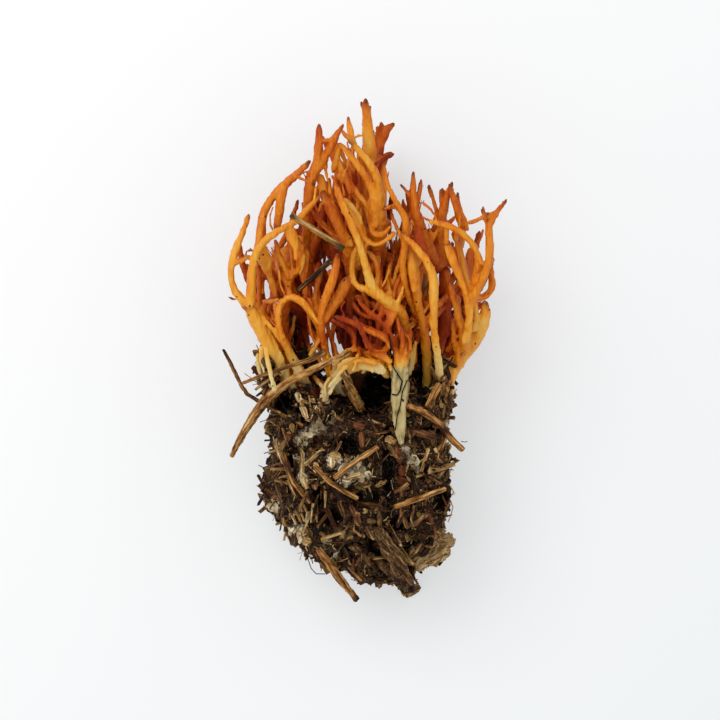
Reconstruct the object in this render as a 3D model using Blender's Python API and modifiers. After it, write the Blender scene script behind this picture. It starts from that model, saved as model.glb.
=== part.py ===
"""Stagshorn fungus: yellow antler-like tufts rooted in a loose clump of needles, bark and soil."""

import math

import bmesh
import bpy
import numpy as np
from mathutils import Matrix, Vector

# Real size in metres, and the photograph's pixels that show it
LENGTH = 0.100
PHOTO_LENGTH = 502
PIXEL = LENGTH / PHOTO_LENGTH
PHOTO_MIDDLE = (365.0, 351.0)
MM = 0.001

# Clearance between neighbouring pieces
GAP = 0.3 * MM
CROSSING_GAP = 0.45 * MM

# Tubes that the branches are made of: a thin one has fewer sides
SEGMENT = 4.4 * MM
THICK = 1.15 * MM
THICK_SIDES = 6
THIN_SIDES = 5
WELD = 1e-6

# How crossing branches are moved apart
BEAD = 0.8 * MM
SETTLE_STEPS = 260
SEARCH_EVERY = 10
SEARCH_REACH = 2.0 * MM
PLAN_SHARE = 0.3
PLAN_MEMORY = 0.97
SPREAD = 0.25
FOOT_ZONE = 1.5
LOWEST = 0.15 * MM

# Base colours
CREAM = (0.78, 0.62, 0.34)
GOLD = (0.80, 0.40, 0.07)
ORANGE = (0.68, 0.24, 0.03)
RED_BROWN = (0.36, 0.09, 0.02)
DUFF = (0.07, 0.04, 0.025)
STRAW = (0.42, 0.27, 0.10)
BARK = (0.30, 0.16, 0.08)
ROOT = (0.62, 0.56, 0.42)

# Courses down the middle of each branch, foot first. Each point has x and y in the photograph's
# pixels, its height above the surface in millimetres, and the branch's width there in pixels.
LEFT_TUFT = {
    "left_stem": [
        [(298, 402, 18, 9), (287, 378, 21, 10), (273, 352, 24, 12), (260, 330, 25, 13), (250, 307, 26, 15)],
    ],
    "left_outer_branch": [
        [(247, 305, 26, 9), (235, 292, 26, 7), (231, 280, 26, 6), (232, 267, 27, 7), (235, 252, 27, 8),
         (241, 238, 26, 6), (246, 226, 25, 5), (249, 214, 24, 4)],
        [(235, 263, 27, 5), (244, 261, 28, 4), (251, 256, 28, 3)],
    ],
    "left_inner_branch": [
        [(250, 307, 27, 10), (252, 292, 27, 10), (252, 277, 28, 9), (254, 262, 28, 8), (259, 248, 29, 8),
         (270, 237, 30, 7), (284, 229, 30, 6), (297, 222, 29, 6), (308, 210, 29, 6), (321, 196, 29, 4)],
    ],
    "left_arch_branch": [
        [(259, 248, 28, 7), (261, 231, 26, 8), (263, 216, 26, 8), (271, 201, 26, 8), (284, 187, 27, 8),
         (298, 175, 27, 8), (311, 161, 27, 5)],
        [(284, 187, 27, 7), (281, 203, 27, 10), (279, 217, 26, 10), (277, 231, 25, 7)],
    ],
    "left_deep_branch": [
        [(292, 396, 9, 8), (276, 352, 12, 8), (263, 320, 15, 7), (259, 300, 17, 6), (260, 280, 19, 6),
         (258, 262, 21, 6)],
        [(263, 320, 15, 6), (273, 302, 19, 6), (273, 287, 21, 5), (267, 270, 22, 5), (262, 255, 23, 4)],
    ],
    "left_cup_branch": [
        [(300, 392, 12, 8), (288, 350, 14, 8), (284, 318, 17, 8), (288, 294, 20, 8), (290, 278, 22, 7),
         (283, 264, 23, 5), (278, 252, 24, 5), (275, 240, 25, 4)],
        [(290, 278, 22, 7), (299, 270, 23, 5), (304, 257, 24, 5), (301, 245, 26, 6), (294, 235, 26, 6)],
    ],
    "left_ribbon_branch": [
        [(311, 396, 17, 10), (298, 366, 22, 9), (287, 349, 24, 7), (280, 332, 26, 6), (278, 316, 27, 6),
         (282, 301, 27, 6), (292, 296, 28, 7), (304, 303, 28, 8), (314, 316, 27, 7), (321, 331, 25, 5),
         (318, 344, 22, 5), (309, 355, 20, 5)],
    ],
    "left_orange_branch": [
        [(296, 392, 13, 8), (285, 360, 16, 8), (275, 341, 18, 7), (266, 325, 19, 6), (262, 309, 20, 6),
         (268, 300, 21, 5), (279, 299, 22, 4)],
    ],
}
CROWN = {
    "crown_fork_branch": [
        [(380, 262, 16, 12), (379, 246, 20, 15), (378, 229, 24, 19), (377, 212, 26, 20), (377, 196, 28, 17)],
        [(375, 198, 28, 9), (367, 180, 29, 7), (357, 166, 30, 6), (346, 151, 30, 6), (338, 144, 29, 4)],
        [(380, 200, 28, 9), (377, 175, 30, 8), (364, 158, 31, 6), (352, 144, 31, 5), (341, 132, 30, 4)],
        [(353, 145, 31, 6), (350, 132, 30, 6), (348, 118, 30, 3)],
        [(341, 147, 29, 5), (336, 160, 27, 6), (333, 174, 26, 5)],
        [(371, 226, 26, 6), (373, 236, 28, 5), (384, 235, 29, 5), (391, 227, 28, 4)],
    ],
    "crown_left_spikes": [
        [(306, 250, 15, 8), (307, 230, 20, 8), (306, 214, 24, 8), (309, 197, 26, 9), (311, 181, 27, 9),
         (317, 168, 27, 11), (325, 158, 27, 12)],
        [(317, 168, 27, 9), (318, 152, 28, 8), (320, 138, 28, 8), (319, 125, 28, 4)],
        [(325, 158, 27, 9), (331, 148, 28, 8), (336, 137, 28, 6), (344, 125, 28, 4)],
    ],
    "crown_top_spike": [
        [(382, 232, 15, 7), (380, 208, 19, 8), (376, 186, 22, 7), (373, 168, 24, 8), (370, 152, 26, 13),
         (368, 135, 27, 12), (367, 118, 28, 9), (365, 100, 28, 4)],
        [(367, 118, 28, 6), (371, 107, 28, 3)],
        [(367, 119, 28, 6), (361, 103, 28, 3)],
        [(373, 164, 25, 7), (381, 159, 24, 7), (392, 153, 24, 5)],
    ],
    "crown_fan_spike": [
        [(372, 160, 25, 6), (378, 149, 25, 7), (382, 140, 25, 10), (386, 131, 26, 9), (394, 124, 26, 4)],
        [(383, 137, 25, 8), (381, 123, 26, 3)],
    ],
    "crown_hook_branch": [
        [(424, 330, 17, 8), (412, 303, 22, 6), (405, 285, 25, 6), (403, 266, 27, 6), (405, 248, 28, 7),
         (407, 232, 29, 8), (405, 217, 30, 7), (396, 203, 31, 5), (388, 190, 31, 4), (386, 178, 31, 4),
         (383, 164, 31, 3)],
        [(404, 215, 30, 5), (395, 206, 29, 4), (384, 210, 28, 4)],
        [(405, 242, 28, 5), (396, 228, 27, 3), (390, 211, 27, 3)],
    ],
}
CENTRE = {
    "centre_long_branch": [
        [(398, 398, 9, 12), (402, 368, 13, 12), (404, 338, 18, 12), (401, 312, 24, 12), (387, 301, 27, 12),
         (373, 292, 28, 11), (368, 276, 29, 8), (363, 256, 31, 7), (356, 236, 32, 7), (349, 220, 33, 6),
         (343, 207, 33, 6), (338, 194, 33, 6), (335, 183, 32, 4)],
        [(371, 292, 28, 7), (355, 286, 27, 5), (351, 272, 27, 5), (353, 257, 28, 5), (359, 245, 31, 5)],
        [(373, 292, 27, 6), (380, 274, 24, 5), (376, 260, 24, 5), (366, 250, 25, 4)],
        [(389, 301, 26, 5), (389, 286, 24, 4), (386, 273, 25, 4)],
    ],
    "centre_flat_branch": [
        [(352, 398, 10, 11), (350, 360, 12, 11), (352, 325, 14, 11), (353, 292, 17, 11), (352, 266, 20, 10),
         (348, 246, 23, 10), (342, 231, 25, 10), (334, 216, 26, 12), (327, 203, 26, 9), (322, 191, 26, 6)],
        [(350, 254, 22, 6), (336, 236, 22, 6), (321, 223, 23, 6), (307, 206, 23, 5)],
    ],
    "centre_lobe_branch": [
        [(358, 268, 19, 8), (363, 248, 24, 8), (362, 231, 27, 8), (356, 216, 28, 8), (350, 206, 28, 7),
         (343, 198, 28, 5)],
        [(362, 233, 27, 6), (368, 243, 28, 5), (378, 246, 28, 5), (387, 240, 28, 4)],
    ],
    "centre_pale_branch": [
        [(368, 250, 20, 7), (374, 227, 22, 7), (366, 209, 24, 7), (356, 196, 25, 7), (347, 181, 26, 7),
         (341, 164, 26, 5)],
    ],
    "centre_cavity_branch": [
        [(334, 398, 16, 8), (331, 376, 20, 8), (327, 355, 24, 7), (323, 338, 26, 6), (320, 320, 28, 6),
         (324, 302, 29, 8), (331, 286, 30, 9), (336, 270, 30, 8), (338, 254, 29, 6)],
        [(323, 322, 27, 8), (334, 306, 27, 10), (342, 293, 27, 12), (348, 277, 27, 8)],
        [(320, 318, 27, 5), (314, 301, 23, 5), (317, 286, 23, 5), (323, 272, 24, 4)],
    ],
}
LOWER_CENTRE = {
    "cream_band": [
        [(326, 410, 20, 8), (324, 392, 26, 9), (338, 374, 28, 12), (352, 367, 29, 11), (366, 364, 29, 10),
         (379, 366, 27, 10), (388, 377, 24, 8)],
    ],
    "orange_body": [
        [(352, 398, 13, 12), (362, 370, 17, 14), (376, 354, 20, 14), (389, 343, 21, 8)],
    ],
    "pale_ribbon_branch": [
        [(344, 404, 16, 9), (334, 368, 22, 7), (344, 352, 25, 5), (356, 348, 26, 5), (369, 355, 22, 6)],
    ],
    "lower_hairpin_branch": [
        [(370, 362, 20, 7), (378, 352, 25, 6), (389, 348, 27, 6), (387, 337, 28, 6), (372, 331, 29, 6),
         (353, 323, 29, 6), (334, 316, 28, 5)],
        [(377, 353, 25, 5), (368, 346, 29, 5), (361, 330, 32, 5), (354, 316, 32, 4)],
    ],
    "lower_mauve_branch": [
        [(356, 366, 22, 7), (355, 347, 25, 6), (353, 332, 26, 6), (342, 324, 27, 6), (330, 320, 26, 5)],
    ],
    "root_fan_branch": [
        [(400, 378, 24, 11), (398, 358, 26, 7), (393, 338, 27, 6), (380, 320, 27, 5), (366, 310, 26, 4),
         (357, 298, 26, 3)],
        [(400, 364, 25, 6), (402, 345, 28, 5), (402, 325, 28, 4)],
        [(402, 370, 24, 6), (408, 347, 26, 5), (411, 329, 27, 4)],
        [(378, 319, 27, 4), (362, 316, 25, 4), (350, 299, 25, 3)],
    ],
}
RIGHT_SIDE = {
    "right_centre_branch": [
        [(443, 402, 17, 8), (440, 378, 21, 8), (437, 352, 25, 7), (433, 330, 28, 7), (433, 310, 30, 8),
         (434, 290, 31, 9), (432, 273, 31, 9), (425, 259, 31, 7), (414, 247, 31, 6), (400, 233, 30, 4)],
    ],
    "right_lobe_branch": [
        [(428, 398, 13, 9), (427, 360, 16, 9), (424, 330, 20, 8), (417, 303, 24, 7), (414, 283, 27, 10),
         (412, 267, 28, 12), (409, 251, 28, 9), (407, 238, 27, 5)],
    ],
    "right_stem": [
        [(442, 404, 12, 12), (449, 376, 17, 13), (460, 356, 20, 13), (473, 342, 22, 13), (481, 326, 24, 14),
         (485, 313, 25, 11), (484, 302, 25, 8)],
    ],
    "right_paired_branch": [
        [(464, 352, 22, 8), (467, 335, 26, 7), (470, 314, 28, 7), (469, 297, 29, 7), (462, 279, 30, 7),
         (454, 261, 30, 7), (446, 239, 29, 6)],
        [(469, 297, 29, 6), (467, 277, 27, 7), (462, 258, 27, 7), (456, 237, 27, 6)],
    ],
    "right_inner_branch": [
        [(456, 366, 20, 8), (463, 338, 23, 7), (459, 316, 25, 7), (453, 296, 26, 7), (449, 282, 26, 5)],
        [(457, 358, 20, 6), (453, 338, 22, 5), (453, 318, 23, 4)],
    ],
    "right_long_branch": [
        [(470, 307, 28, 8), (476, 291, 29, 7), (484, 275, 30, 7), (489, 257, 31, 8), (489, 240, 31, 7),
         (488, 225, 31, 6), (496, 213, 31, 5), (506, 200, 31, 4)],
        [(488, 227, 31, 5), (484, 216, 30, 4), (482, 207, 30, 3)],
        [(495, 214, 31, 4), (479, 220, 32, 4), (467, 225, 32, 4)],
        [(474, 296, 28, 6), (484, 298, 27, 6), (492, 289, 27, 6), (491, 275, 27, 6), (490, 263, 27, 4)],
    ],
    "right_hooked_branch": [
        [(470, 302, 27, 6), (475, 280, 29, 6), (478, 262, 30, 6), (474, 246, 31, 6), (462, 234, 32, 6),
         (447, 226, 32, 6), (431, 222, 31, 5)],
        [(471, 295, 27, 6), (468, 272, 24, 7), (471, 253, 24, 5)],
    ],
    "right_deep_trunk": [
        [(424, 400, 8, 12), (436, 358, 10, 12), (444, 325, 12, 12), (445, 295, 15, 13), (444, 268, 19, 13)],
    ],
    "right_tall_spike": [
        [(442, 272, 18, 9), (431, 250, 23, 10), (422, 230, 26, 11), (415, 211, 28, 10), (413, 192, 29, 6),
         (413, 172, 29, 4)],
        [(415, 209, 28, 6), (419, 194, 28, 5), (421, 180, 28, 4)],
        [(414, 202, 28, 4), (406, 191, 28, 3), (400, 185, 28, 3)],
    ],
    "right_twin_spike": [
        [(444, 270, 18, 9), (439, 246, 22, 9), (439, 226, 25, 8), (441, 212, 27, 8), (446, 198, 28, 6),
         (452, 182, 28, 4)],
        [(441, 212, 27, 5), (442, 188, 28, 4)],
        [(438, 230, 25, 5), (434, 204, 26, 3), (428, 185, 27, 3)],
    ],
    "right_fork_spike": [
        [(446, 272, 18, 8), (458, 250, 22, 8), (463, 231, 26, 8), (458, 214, 28, 9), (452, 198, 29, 5),
         (448, 186, 29, 3)],
        [(458, 213, 28, 5), (457, 193, 29, 3)],
    ],
}
UNDERSIDE = {
    "under_left_branch": [
        [(290, 400, 5, 11), (272, 352, 7, 10), (262, 312, 6, 9), (258, 272, 4, 8), (263, 238, 3, 6),
         (262, 208, 4, 4)],
        [(262, 308, 6, 8), (248, 282, 9, 7), (240, 258, 12, 6), (238, 236, 15, 4)],
        [(259, 276, 4, 7), (278, 250, 6, 6), (290, 224, 9, 5), (298, 198, 13, 4)],
    ],
    "under_middle_branch": [
        [(318, 402, 6, 11), (306, 352, 6, 10), (302, 310, 5, 10), (306, 276, 6, 9), (316, 244, 9, 8),
         (323, 215, 13, 7), (326, 188, 17, 5)],
        [(302, 304, 5, 8), (290, 280, 8, 6), (285, 258, 12, 6), (290, 238, 16, 4)],
        [(307, 272, 6, 7), (326, 248, 4, 6), (336, 224, 5, 5), (340, 198, 9, 4)],
    ],
    "under_centre_branch": [
        [(366, 402, 5, 12), (358, 352, 5, 11), (354, 306, 5, 10), (358, 266, 6, 9), (366, 230, 9, 8),
         (370, 198, 13, 7), (374, 166, 18, 5)],
        [(354, 302, 5, 8), (342, 278, 8, 6), (340, 254, 12, 6), (346, 230, 16, 5)],
        [(359, 262, 6, 7), (380, 240, 5, 6), (390, 214, 7, 5), (392, 188, 12, 4)],
    ],
    "under_right_branch": [
        [(398, 402, 4, 11), (404, 352, 5, 10), (406, 310, 5, 9), (410, 276, 7, 8), (412, 242, 11, 7),
         (408, 214, 16, 5)],
        [(406, 306, 5, 8), (424, 284, 4, 6), (434, 260, 5, 6), (438, 236, 9, 5), (440, 212, 14, 4)],
        [(408, 290, 6, 7), (394, 268, 9, 5), (390, 246, 13, 4)],
    ],
    "under_outer_branch": [
        [(440, 400, 6, 10), (448, 352, 7, 10), (458, 316, 7, 9), (466, 286, 8, 8), (474, 256, 11, 7),
         (480, 230, 16, 5)],
        [(458, 314, 7, 7), (476, 296, 9, 6), (488, 276, 13, 5), (494, 256, 18, 4)],
        [(464, 292, 8, 7), (456, 264, 9, 6), (452, 240, 12, 4)],
    ],
}

# What is caught in the clump, in the same form
LITTER = {
    "white_root": [
        [(401, 382, 23, 18), (400, 397, 26, 17), (399, 412, 28, 14), (400, 432, 30, 11), (401, 444, 31, 4)],
    ],
    "big_straw": [
        [(231, 457, 14, 5), (240, 439, 16, 8), (254, 416, 20, 10), (268, 397, 24, 12), (288, 382, 26, 9),
         (310, 371, 28, 8), (333, 360, 30, 7), (352, 351, 30, 5)],
    ],
    "bent_needle": [
        [(223, 349, 20, 4), (232, 366, 20, 5), (240, 383, 20, 5), (247, 394, 20, 5), (260, 402, 21, 5),
         (276, 411, 23, 5), (290, 419, 28, 5), (304, 426, 30, 5)],
    ],
    "olive_needle": [
        [(243, 383, 27, 4), (268, 373, 27, 5), (290, 366, 27, 5), (309, 360, 27, 6), (326, 351, 27, 8)],
    ],
    "pale_crown_needle": [
        [(291, 216, 34, 7), (318, 233, 34, 7), (344, 250, 34, 7)],
    ],
    "dark_crown_needle": [
        [(298, 291, 26, 6), (315, 276, 26, 7), (332, 260, 26, 6)],
    ],
    "left_clump_needle": [
        [(279, 437, 27, 6), (286, 462, 29, 7), (294, 483, 29, 7), (311, 502, 29, 6)],
    ],
    "crossed_needle_left": [
        [(315, 465, 32, 6), (330, 481, 31, 6), (358, 498, 29, 6)],
    ],
    "crossed_needle_right": [
        [(334, 477, 33, 6), (355, 461, 33, 6), (378, 446, 32, 6)],
    ],
    "right_clump_needle": [
        [(407, 405, 28, 7), (424, 412, 28, 8), (440, 424, 25, 8), (452, 440, 23, 8), (463, 450, 22, 7)],
    ],
    "side_needle": [
        [(448, 430, 18, 6), (440, 449, 23, 7), (430, 467, 26, 6)],
    ],
    "golden_needle": [
        [(394, 506, 29, 6), (415, 499, 28, 7), (445, 488, 24, 6)],
    ],
    "straw_fragment": [
        [(344, 386, 22, 8), (352, 396, 24, 9), (362, 410, 26, 9)],
    ],
    "right_straw": [
        [(440, 384, 24, 8), (434, 394, 25, 8), (428, 407, 27, 8)],
    ],
    "bottom_stick": [
        [(318, 548, 20, 8), (331, 567, 18, 10), (346, 587, 16, 8), (357, 601, 14, 8)],
    ],
    "splinter_bundle": [
        [(372, 526, 26, 10), (390, 556, 21, 10), (405, 586, 17, 9)],
        [(379, 527, 26, 9), (396, 555, 21, 9), (411, 583, 17, 8)],
        [(352, 546, 23, 8), (378, 560, 20, 8), (403, 585, 17, 8)],
    ],
    "loose_chip": [
        [(392, 578, 3, 6), (405, 597, 1.5, 7), (420, 588, 1.5, 7)],
    ],
}

# Lumps that make the clump, and the hollows in its upper side: centre in pixels and millimetres,
# half-sizes the same way
CLUMP_LUMPS = [
    (356, 455, 14, 74, 60, 18),
    (370, 510, 12, 62, 48, 17),
    (306, 422, 15, 38, 34, 15),
    (412, 418, 14, 36, 34, 15),
    (266, 372, 20, 11, 30, 7),
    (447, 388, 16, 11, 30, 9),
    (294, 472, 14, 28, 36, 16),
    (420, 470, 13, 30, 40, 15),
    (302, 512, 12, 24, 24, 12),
    (422, 520, 12, 22, 30, 13),
    (364, 552, 10, 34, 24, 13),
    (320, 540, 12, 24, 20, 11),
    (394, 566, 10, 20, 20, 10),
    (336, 468, 24, 34, 22, 10),
    (388, 446, 23, 26, 22, 9),
    (304, 496, 21, 22, 24, 9),
    (404, 498, 20, 26, 22, 9),
    (354, 518, 22, 22, 22, 9),
    (320, 402, 14, 30, 14, 12),
    (396, 400, 13, 36, 14, 12),
    (268, 488, 16, 10, 8, 5),
    (274, 506, 12, 10, 8, 5),
    (440, 458, 22, 10, 9, 5),
    (442, 498, 14, 9, 9, 6),
    (430, 552, 12, 16, 10, 6),
    (330, 566, 15, 12, 9, 5),
    (366, 578, 12, 11, 9, 5),
    (402, 582, 12, 12, 8, 6),
    (282, 424, 24, 12, 12, 6),
    (290, 444, 28, 12, 10, 5),
]
CLUMP_HOLLOWS = [
    (374, 400, 31, 20, 17, 10),
    (312, 446, 34, 15, 14, 7),
    (376, 482, 34, 14, 11, 6),
    (332, 500, 34, 12, 12, 6),
    (420, 440, 31, 14, 15, 6),
    (370, 536, 28, 13, 12, 6),
    (300, 536, 24, 9, 9, 5),
]
CLUMP_VOXEL = 1.1 * MM
CLUMP_TRIANGLES = 850
CLUMP_ROUGHNESS = 2.4 * MM
CLUMP_GRAIN = 3.2 * MM

# Piece of bark in the clump's edge: corners in pixels, its middle height and thickness in metres
BARK_CORNERS = [(408, 556), (431, 527), (452, 540), (447, 556), (421, 568)]
BARK_HEIGHT = 15.0 * MM
BARK_THICKNESS = 5.0 * MM
BARK_LEAN = (math.radians(12), math.radians(-14), 0.0)
CORNER_REACH = 1.5

# Surfaces
CRISP_EDGE = math.radians(50)
WOOD_ROUGHNESS = 0.85
FUNGUS_ROUGHNESS = 0.38


class Course:
    """One branch or needle: points down its middle with a radius each. Needles and sticks are stiff."""

    def __init__(self, node, traced):
        self.node = node
        points, radii = smooth_line(traced)
        self.points = points
        self.radii = radii
        self.stiff = node in LITTER


def photo_point(x, y, height_mm):
    """Place in metres of a pixel of the photograph at a height above the surface."""
    return (
        (x - PHOTO_MIDDLE[0]) * PIXEL,
        (PHOTO_MIDDLE[1] - y) * PIXEL,
        height_mm * MM,
    )


def smooth_line(traced):
    """Points and radii on a smooth curve through the traced points, no further apart than SEGMENT."""
    knots = np.array([(*photo_point(x, y, z), w * PIXEL / 2) for x, y, z, w in traced])
    slopes = np.gradient(knots, axis=0)
    line = [knots[0]]
    for i in range(len(knots) - 1):
        span = np.linalg.norm(knots[i + 1, :3] - knots[i, :3])
        steps = max(1, round(span / SEGMENT))
        for step in range(1, steps + 1):
            t = step / steps
            a = 2 * t**3 - 3 * t**2 + 1
            b = t**3 - 2 * t**2 + t
            c = -2 * t**3 + 3 * t**2
            d = t**3 - t**2
            line.append(a * knots[i] + b * slopes[i] + c * knots[i + 1] + d * slopes[i + 1])
    line = np.array(line)
    return line[:, :3], np.maximum(line[:, 3], knots[:, 3].min())


class Beads:
    """Balls along every course, through which crossing branches feel each other.

    A bundle of splinters is one group, so that its splinters may lie in each other.
    """

    def __init__(self, courses):
        first, share, owner, along = [], [], [], []
        nodes = sorted({course.node for course in courses})
        start = 0
        for number, course in enumerate(courses):
            run = 0.0
            for i in range(len(course.points) - 1):
                span = np.linalg.norm(course.points[i + 1] - course.points[i])
                count = max(1, math.ceil(span / BEAD))
                for k in range(count):
                    first.append(start + i)
                    share.append(k / count)
                    owner.append(number)
                    along.append(run + span * k / count)
                run += span
            first.append(start + len(course.points) - 2)
            share.append(1.0)
            owner.append(number)
            along.append(run)
            start += len(course.points)
        self.first = np.array(first)
        self.share = np.array(share)[:, None]
        self.owner = np.array(owner)
        self.along = np.array(along)
        alone = [-1 - nodes.index(c.node) if c.stiff else i for i, c in enumerate(courses)]
        self.group = np.array(alone)[self.owner]
        self.radii = self.at(np.concatenate([c.radii for c in courses])[:, None])[:, 0]

    def at(self, values):
        """Values at the beads, from values at the courses' points."""
        return values[self.first] * (1 - self.share) + values[self.first + 1] * self.share


def find_feet(courses, beads, places):
    """Ends that lie inside another course: (point, bead) pairs, and the beads near such an end."""
    feet = []
    near_foot = np.zeros(len(beads.owner), bool)
    start = 0
    for number, course in enumerate(courses):
        length = beads.along[beads.owner == number].max()
        others = np.flatnonzero(beads.owner != number)
        for index, end in ((0, 0.0), (len(course.points) - 1, length)):
            away = np.linalg.norm(places[others] - course.points[index], axis=1)
            nearest = others[np.argmin(away - beads.radii[others])]
            reach = beads.radii[nearest] + course.radii[index]
            if away.min() < reach and not course.stiff:
                feet.append((start + index, nearest))
                zone = FOOT_ZONE * reach + CROSSING_GAP
                near_foot |= (beads.owner == number) & (np.abs(beads.along - end) < zone)
        start += len(course.points)
    return feet, near_foot


def touching_pairs(beads, places, usable, reach):
    """Pairs of usable beads of different groups that are within reach of touching."""
    found_a, found_b = [], []
    for i in np.flatnonzero(usable):
        rest = np.arange(i + 1, len(places))
        rest = rest[usable[rest] & (beads.group[rest] != beads.group[i])]
        away = np.linalg.norm(places[rest] - places[i], axis=1)
        close = rest[away < beads.radii[rest] + beads.radii[i] + reach]
        found_a.append(np.full(len(close), i))
        found_b.append(close)
    return np.concatenate(found_a), np.concatenate(found_b)


def settle(courses):
    """Moves crossing branches apart, mostly in height, until they only meet at their feet."""
    beads = Beads(courses)
    points = np.vstack([course.points for course in courses])
    radii = np.concatenate([course.radii for course in courses])
    start = points.copy()
    feet, near_foot = find_feet(courses, beads, beads.at(points))
    weight = np.array([PLAN_SHARE, PLAN_SHARE, 1.0])
    for step in range(SETTLE_STEPS):
        places = beads.at(points)
        if step % SEARCH_EVERY == 0:
            a, b = touching_pairs(beads, places, ~near_foot, SEARCH_REACH)
        apart = places[a] - places[b]
        distance = np.linalg.norm(apart, axis=1)
        missing = beads.radii[a] + beads.radii[b] + CROSSING_GAP - distance
        hit = missing > 0
        way = apart[hit] * weight + np.array([0.0, 0.0, 1e-6])
        way /= np.linalg.norm(way, axis=1)[:, None]
        push = way * missing[hit][:, None] / 2
        total = np.zeros_like(points)
        shares = np.zeros(len(points))
        for side, sign in ((a[hit], 1.0), (b[hit], -1.0)):
            for offset, share in ((0, 1 - beads.share[side]), (1, beads.share[side])):
                np.add.at(total, beads.first[side] + offset, sign * push * share)
                np.add.at(shares, beads.first[side] + offset, share[:, 0])
        points += total / np.maximum(shares, 1e-9)[:, None]
        moved = ease(courses, points - start)
        for point, bead in feet:
            first, share = beads.first[bead], beads.share[bead]
            moved[point] = moved[first] * (1 - share) + moved[first + 1] * share
        points = start + moved
        points[:, 2] = np.maximum(points[:, 2], radii + LOWEST)
    begin = 0
    for course in courses:
        course.points = points[begin:begin + len(course.points)]
        begin += len(course.points)
    return beads, beads.at(points)


def ease(courses, moved):
    """Spreads each move along its course. A needle moves as one straight piece."""
    begin = 0
    for course in courses:
        span = slice(begin, begin + len(course.points))
        own = moved[span]
        if course.stiff:
            along = np.linspace(-1, 1, len(own))
            slope = (along[:, None] * own).sum(axis=0) / (along**2).sum()
            moved[span] = own.mean(axis=0) + along[:, None] * slope
        else:
            middle = (own[:-2] + own[2:]) / 2
            own[1:-1] += SPREAD * (middle - own[1:-1])
        begin += len(course.points)
    moved[:, :2] *= PLAN_MEMORY
    return moved


def make_collection(name):
    collection = bpy.data.collections.new(name)
    bpy.context.scene.collection.children.link(collection)
    return collection


def make_material(name, colour, roughness):
    material = bpy.data.materials.new(name)
    material.use_nodes = True
    shader = material.node_tree.nodes["Principled BSDF"]
    shader.inputs["Base Color"].default_value = (*colour, 1.0)
    shader.inputs["Roughness"].default_value = roughness
    shader.inputs["Metallic"].default_value = 0.0
    material.diffuse_color = (*colour, 1.0)
    return material


def mesh_of(source):
    """The object's evaluated mesh as a plain mesh object in its place, with the source removed."""
    bpy.context.view_layer.update()
    evaluated = source.evaluated_get(bpy.context.evaluated_depsgraph_get())
    mesh = bpy.data.meshes.new_from_object(evaluated)
    mesh.name = source.name
    mesh.materials.clear()
    shape = bmesh.new()
    shape.from_mesh(mesh)
    bmesh.ops.remove_doubles(shape, verts=shape.verts, dist=WELD)
    bmesh.ops.recalc_face_normals(shape, faces=shape.faces)
    shape.to_mesh(mesh)
    shape.free()
    name = source.name
    place = source.matrix_world.copy()
    collection = source.users_collection[0]
    bpy.data.objects.remove(source)
    result = bpy.data.objects.new(name, mesh)
    result.matrix_world = place
    collection.objects.link(result)
    return result


def ring(sides):
    """The section of a tube, one unit in radius, shared by every tube with that many sides."""
    name = f"section_{sides}"
    if name in bpy.data.objects:
        return bpy.data.objects[name]
    curve = bpy.data.curves.new(name, "CURVE")
    spline = curve.splines.new("POLY")
    spline.use_cyclic_u = True
    spline.points.add(sides - 1)
    for number, point in enumerate(spline.points):
        turn = 2 * math.pi * number / sides
        point.co = (math.cos(turn), math.sin(turn), 0.0, 1.0)
    section = bpy.data.objects.new(name, curve)
    section.hide_render = True
    section.display_type = "WIRE"
    bpy.data.collections["cutters"].objects.link(section)
    return section


def tube(name, course, collection, extra=0.0):
    """A closed round tube down the course, thicker and longer by extra all round."""
    line = course.points.copy()
    if extra:
        for end, inner in ((0, 1), (-1, -2)):
            out = line[end] - line[inner]
            line[end] = line[end] + out / np.linalg.norm(out) * extra
    curve = bpy.data.curves.new(name, "CURVE")
    curve.dimensions = "3D"
    curve.bevel_mode = "OBJECT"
    curve.bevel_object = ring(THICK_SIDES if course.radii.max() > THICK else THIN_SIDES)
    curve.use_fill_caps = True
    spline = curve.splines.new("POLY")
    spline.points.add(len(line) - 1)
    for point, place, radius in zip(spline.points, line, course.radii):
        point.co = (*place, 1.0)
        point.radius = radius + extra
    shape = bpy.data.objects.new(name, curve)
    collection.objects.link(shape)
    return mesh_of(shape)


def combine(body, other, operation):
    """The body joined with the other shape or cut by it. The other shape is used up."""
    other.hide_render = True
    other.display_type = "WIRE"
    boolean = body.modifiers.new(operation.lower(), "BOOLEAN")
    boolean.operation = operation
    boolean.solver = "EXACT"
    boolean.object = other
    result = mesh_of(body)
    bpy.data.objects.remove(other)
    return result


def keep_largest(body):
    """Drops the crumbs that a cut leaves beside the body."""
    shape = bmesh.new()
    shape.from_mesh(body.data)
    waiting = set(shape.verts)
    islands = []
    while waiting:
        seed = waiting.pop()
        island = [seed]
        stack = [seed]
        while stack:
            for edge in stack.pop().link_edges:
                for vertex in edge.verts:
                    if vertex in waiting:
                        waiting.remove(vertex)
                        island.append(vertex)
                        stack.append(vertex)
        islands.append(island)
    islands.sort(key=len, reverse=True)
    crumbs = [vertex for island in islands[1:] for vertex in island]
    bmesh.ops.delete(shape, geom=crumbs, context="VERTS")
    shape.to_mesh(body.data)
    shape.free()


def touching_courses(courses, beads, places):
    """For each node, the earlier nodes' courses that come closer to it than the gap."""
    a, b = touching_pairs(beads, places, np.ones(len(places), bool), GAP)
    pairs = set(zip(beads.owner[a].tolist(), beads.owner[b].tolist()))
    found = {}
    for first, second in sorted(pairs):
        if courses[first].node != courses[second].node:
            found.setdefault(courses[second].node, set()).add(first)
    return found


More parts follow.
